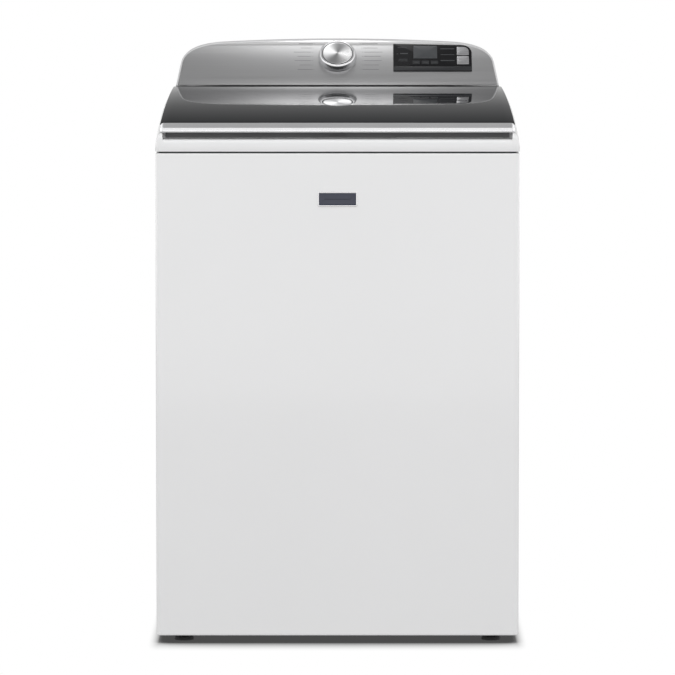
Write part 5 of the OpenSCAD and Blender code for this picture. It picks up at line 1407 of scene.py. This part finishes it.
# %% Finishes of the carried-over nodes
cad_finishes = {
    zinc_sheet: ("base_frame", "console_cover", "suspension_brackets"),
    zinc_plate: ("rear_screws", "suspension_rods", "hinge_brackets", "hinge_pins", "lid_strike", "rotor_cup"),
    white_satin: ("rod_sockets", "tub_cover", "basket_base", "clutch_slider", "lid_lock_bolt",
                  "pump_impeller"),
    natural_plastic: ("outer_tub", "fill_flume", "inlet_valve"),
    dark_satin: ("lid_frame", "lid_lock_case", "cord_gland", "knob_encoder", "drain_pump"),
    # the bumpers' dark grey is also painted shade in the finger recess under the trim
    recess_shade_grey: ("lid_bumpers",),
    black_rubber: ("ear_seats", "hub_seal"),
    drawn_steel: ("suspension_springs", "hub_bearings", "spin_tube", "drive_shaft"),
    laminated_iron: ("stator_core",),
    copper_wire: ("stator_coils",),
    board_lacquer: ("control_board",),
}
for material, names in cad_finishes.items():
    for name in names:
        for slot in nodes[name].material_slots:
            slot.material = material
left = set(nodes) - {n for names in cad_finishes.values() for n in names}
print("nodes with new finishes:", len(nodes) - len(left), "replaced:", len(left))

# %% [markdown]
# The floor is plain and nearly white. It glows evenly, and its contact shadow is painted into the glow:
# ambient occlusion darkens it only in a band round the machine's footprint, so the machine stands in a soft
# shadow and the background stays clean.

# %% Floor
side = np.linspace(-9, 9, 13)
X, Y = np.meshgrid(side, side + 4, indexing="ij")
floor = piece("studio_floor", np.stack([X, Y, 0 * X - 0.0004], -1), quads(13, 13), None, white_deck,
              closed=False)
pale = bpy.data.materials.new("studio floor")
pale.use_nodes = True
t = pale.node_tree
t.nodes.clear()
shade = t.nodes.new("ShaderNodeAmbientOcclusion")
shade.samples = 16
shade.inputs["Distance"].default_value = 0.7


def floor_math(operation, *values, clamp=False):
    """One arithmetic step in the floor's shader."""
    return math_node(t, operation, *values, clamp=clamp)


place = t.nodes.new("ShaderNodeSeparateXYZ")
t.links.new(t.nodes.new("ShaderNodeTexCoord").outputs["Object"], place.inputs[0])
# painted shadow: the glow is darkened by ambient occlusion only within about 11 cm of the footprint (less at
# the sides), and never below 7 %
off_x = floor_math("MAXIMUM", floor_math("SUBTRACT", floor_math("ABSOLUTE", place.outputs[0]),
                                         half_w - 4 * MM), 0.0)
off_x = floor_math("MULTIPLY", off_x, 5.0)
mid_y = (front_y + rear_y) / 2
off_y = floor_math("ABSOLUTE", floor_math("SUBTRACT", place.outputs[1], mid_y))
off_y = floor_math("MAXIMUM", floor_math("SUBTRACT", off_y, rear_y - mid_y), 0.0)
away = floor_math("SQRT", floor_math("ADD", floor_math("POWER", off_x, 2.0), floor_math("POWER", off_y, 2.0)))
shadow_band = floor_math("POWER", floor_math("SUBTRACT", 1.0, floor_math("DIVIDE", away, 0.11), clamp=True), 1.8)
dark = floor_math("SUBTRACT", 1.0, floor_math("POWER", shade.outputs["AO"], 2.2), clamp=True)
light = floor_math("MAXIMUM", floor_math("SUBTRACT", 1.0, floor_math("MULTIPLY", dark, shadow_band)), 0.07)
glow = t.nodes.new("ShaderNodeEmission")
dim = t.nodes.new("ShaderNodeEmission")
dim.inputs["Strength"].default_value = 0.55
t.links.new(light, glow.inputs["Strength"])
seen = t.nodes.new("ShaderNodeLightPath")
both = t.nodes.new("ShaderNodeMixShader")
t.links.new(seen.outputs["Is Camera Ray"], both.inputs[0])
t.links.new(dim.outputs[0], both.inputs[1])
t.links.new(glow.outputs[0], both.inputs[2])
t.links.new(both.outputs[0], t.nodes.new("ShaderNodeOutputMaterial").inputs[0])
floor.data.materials[0] = pale
print("floor", round(float(side[-1] * 2)), "m wide")
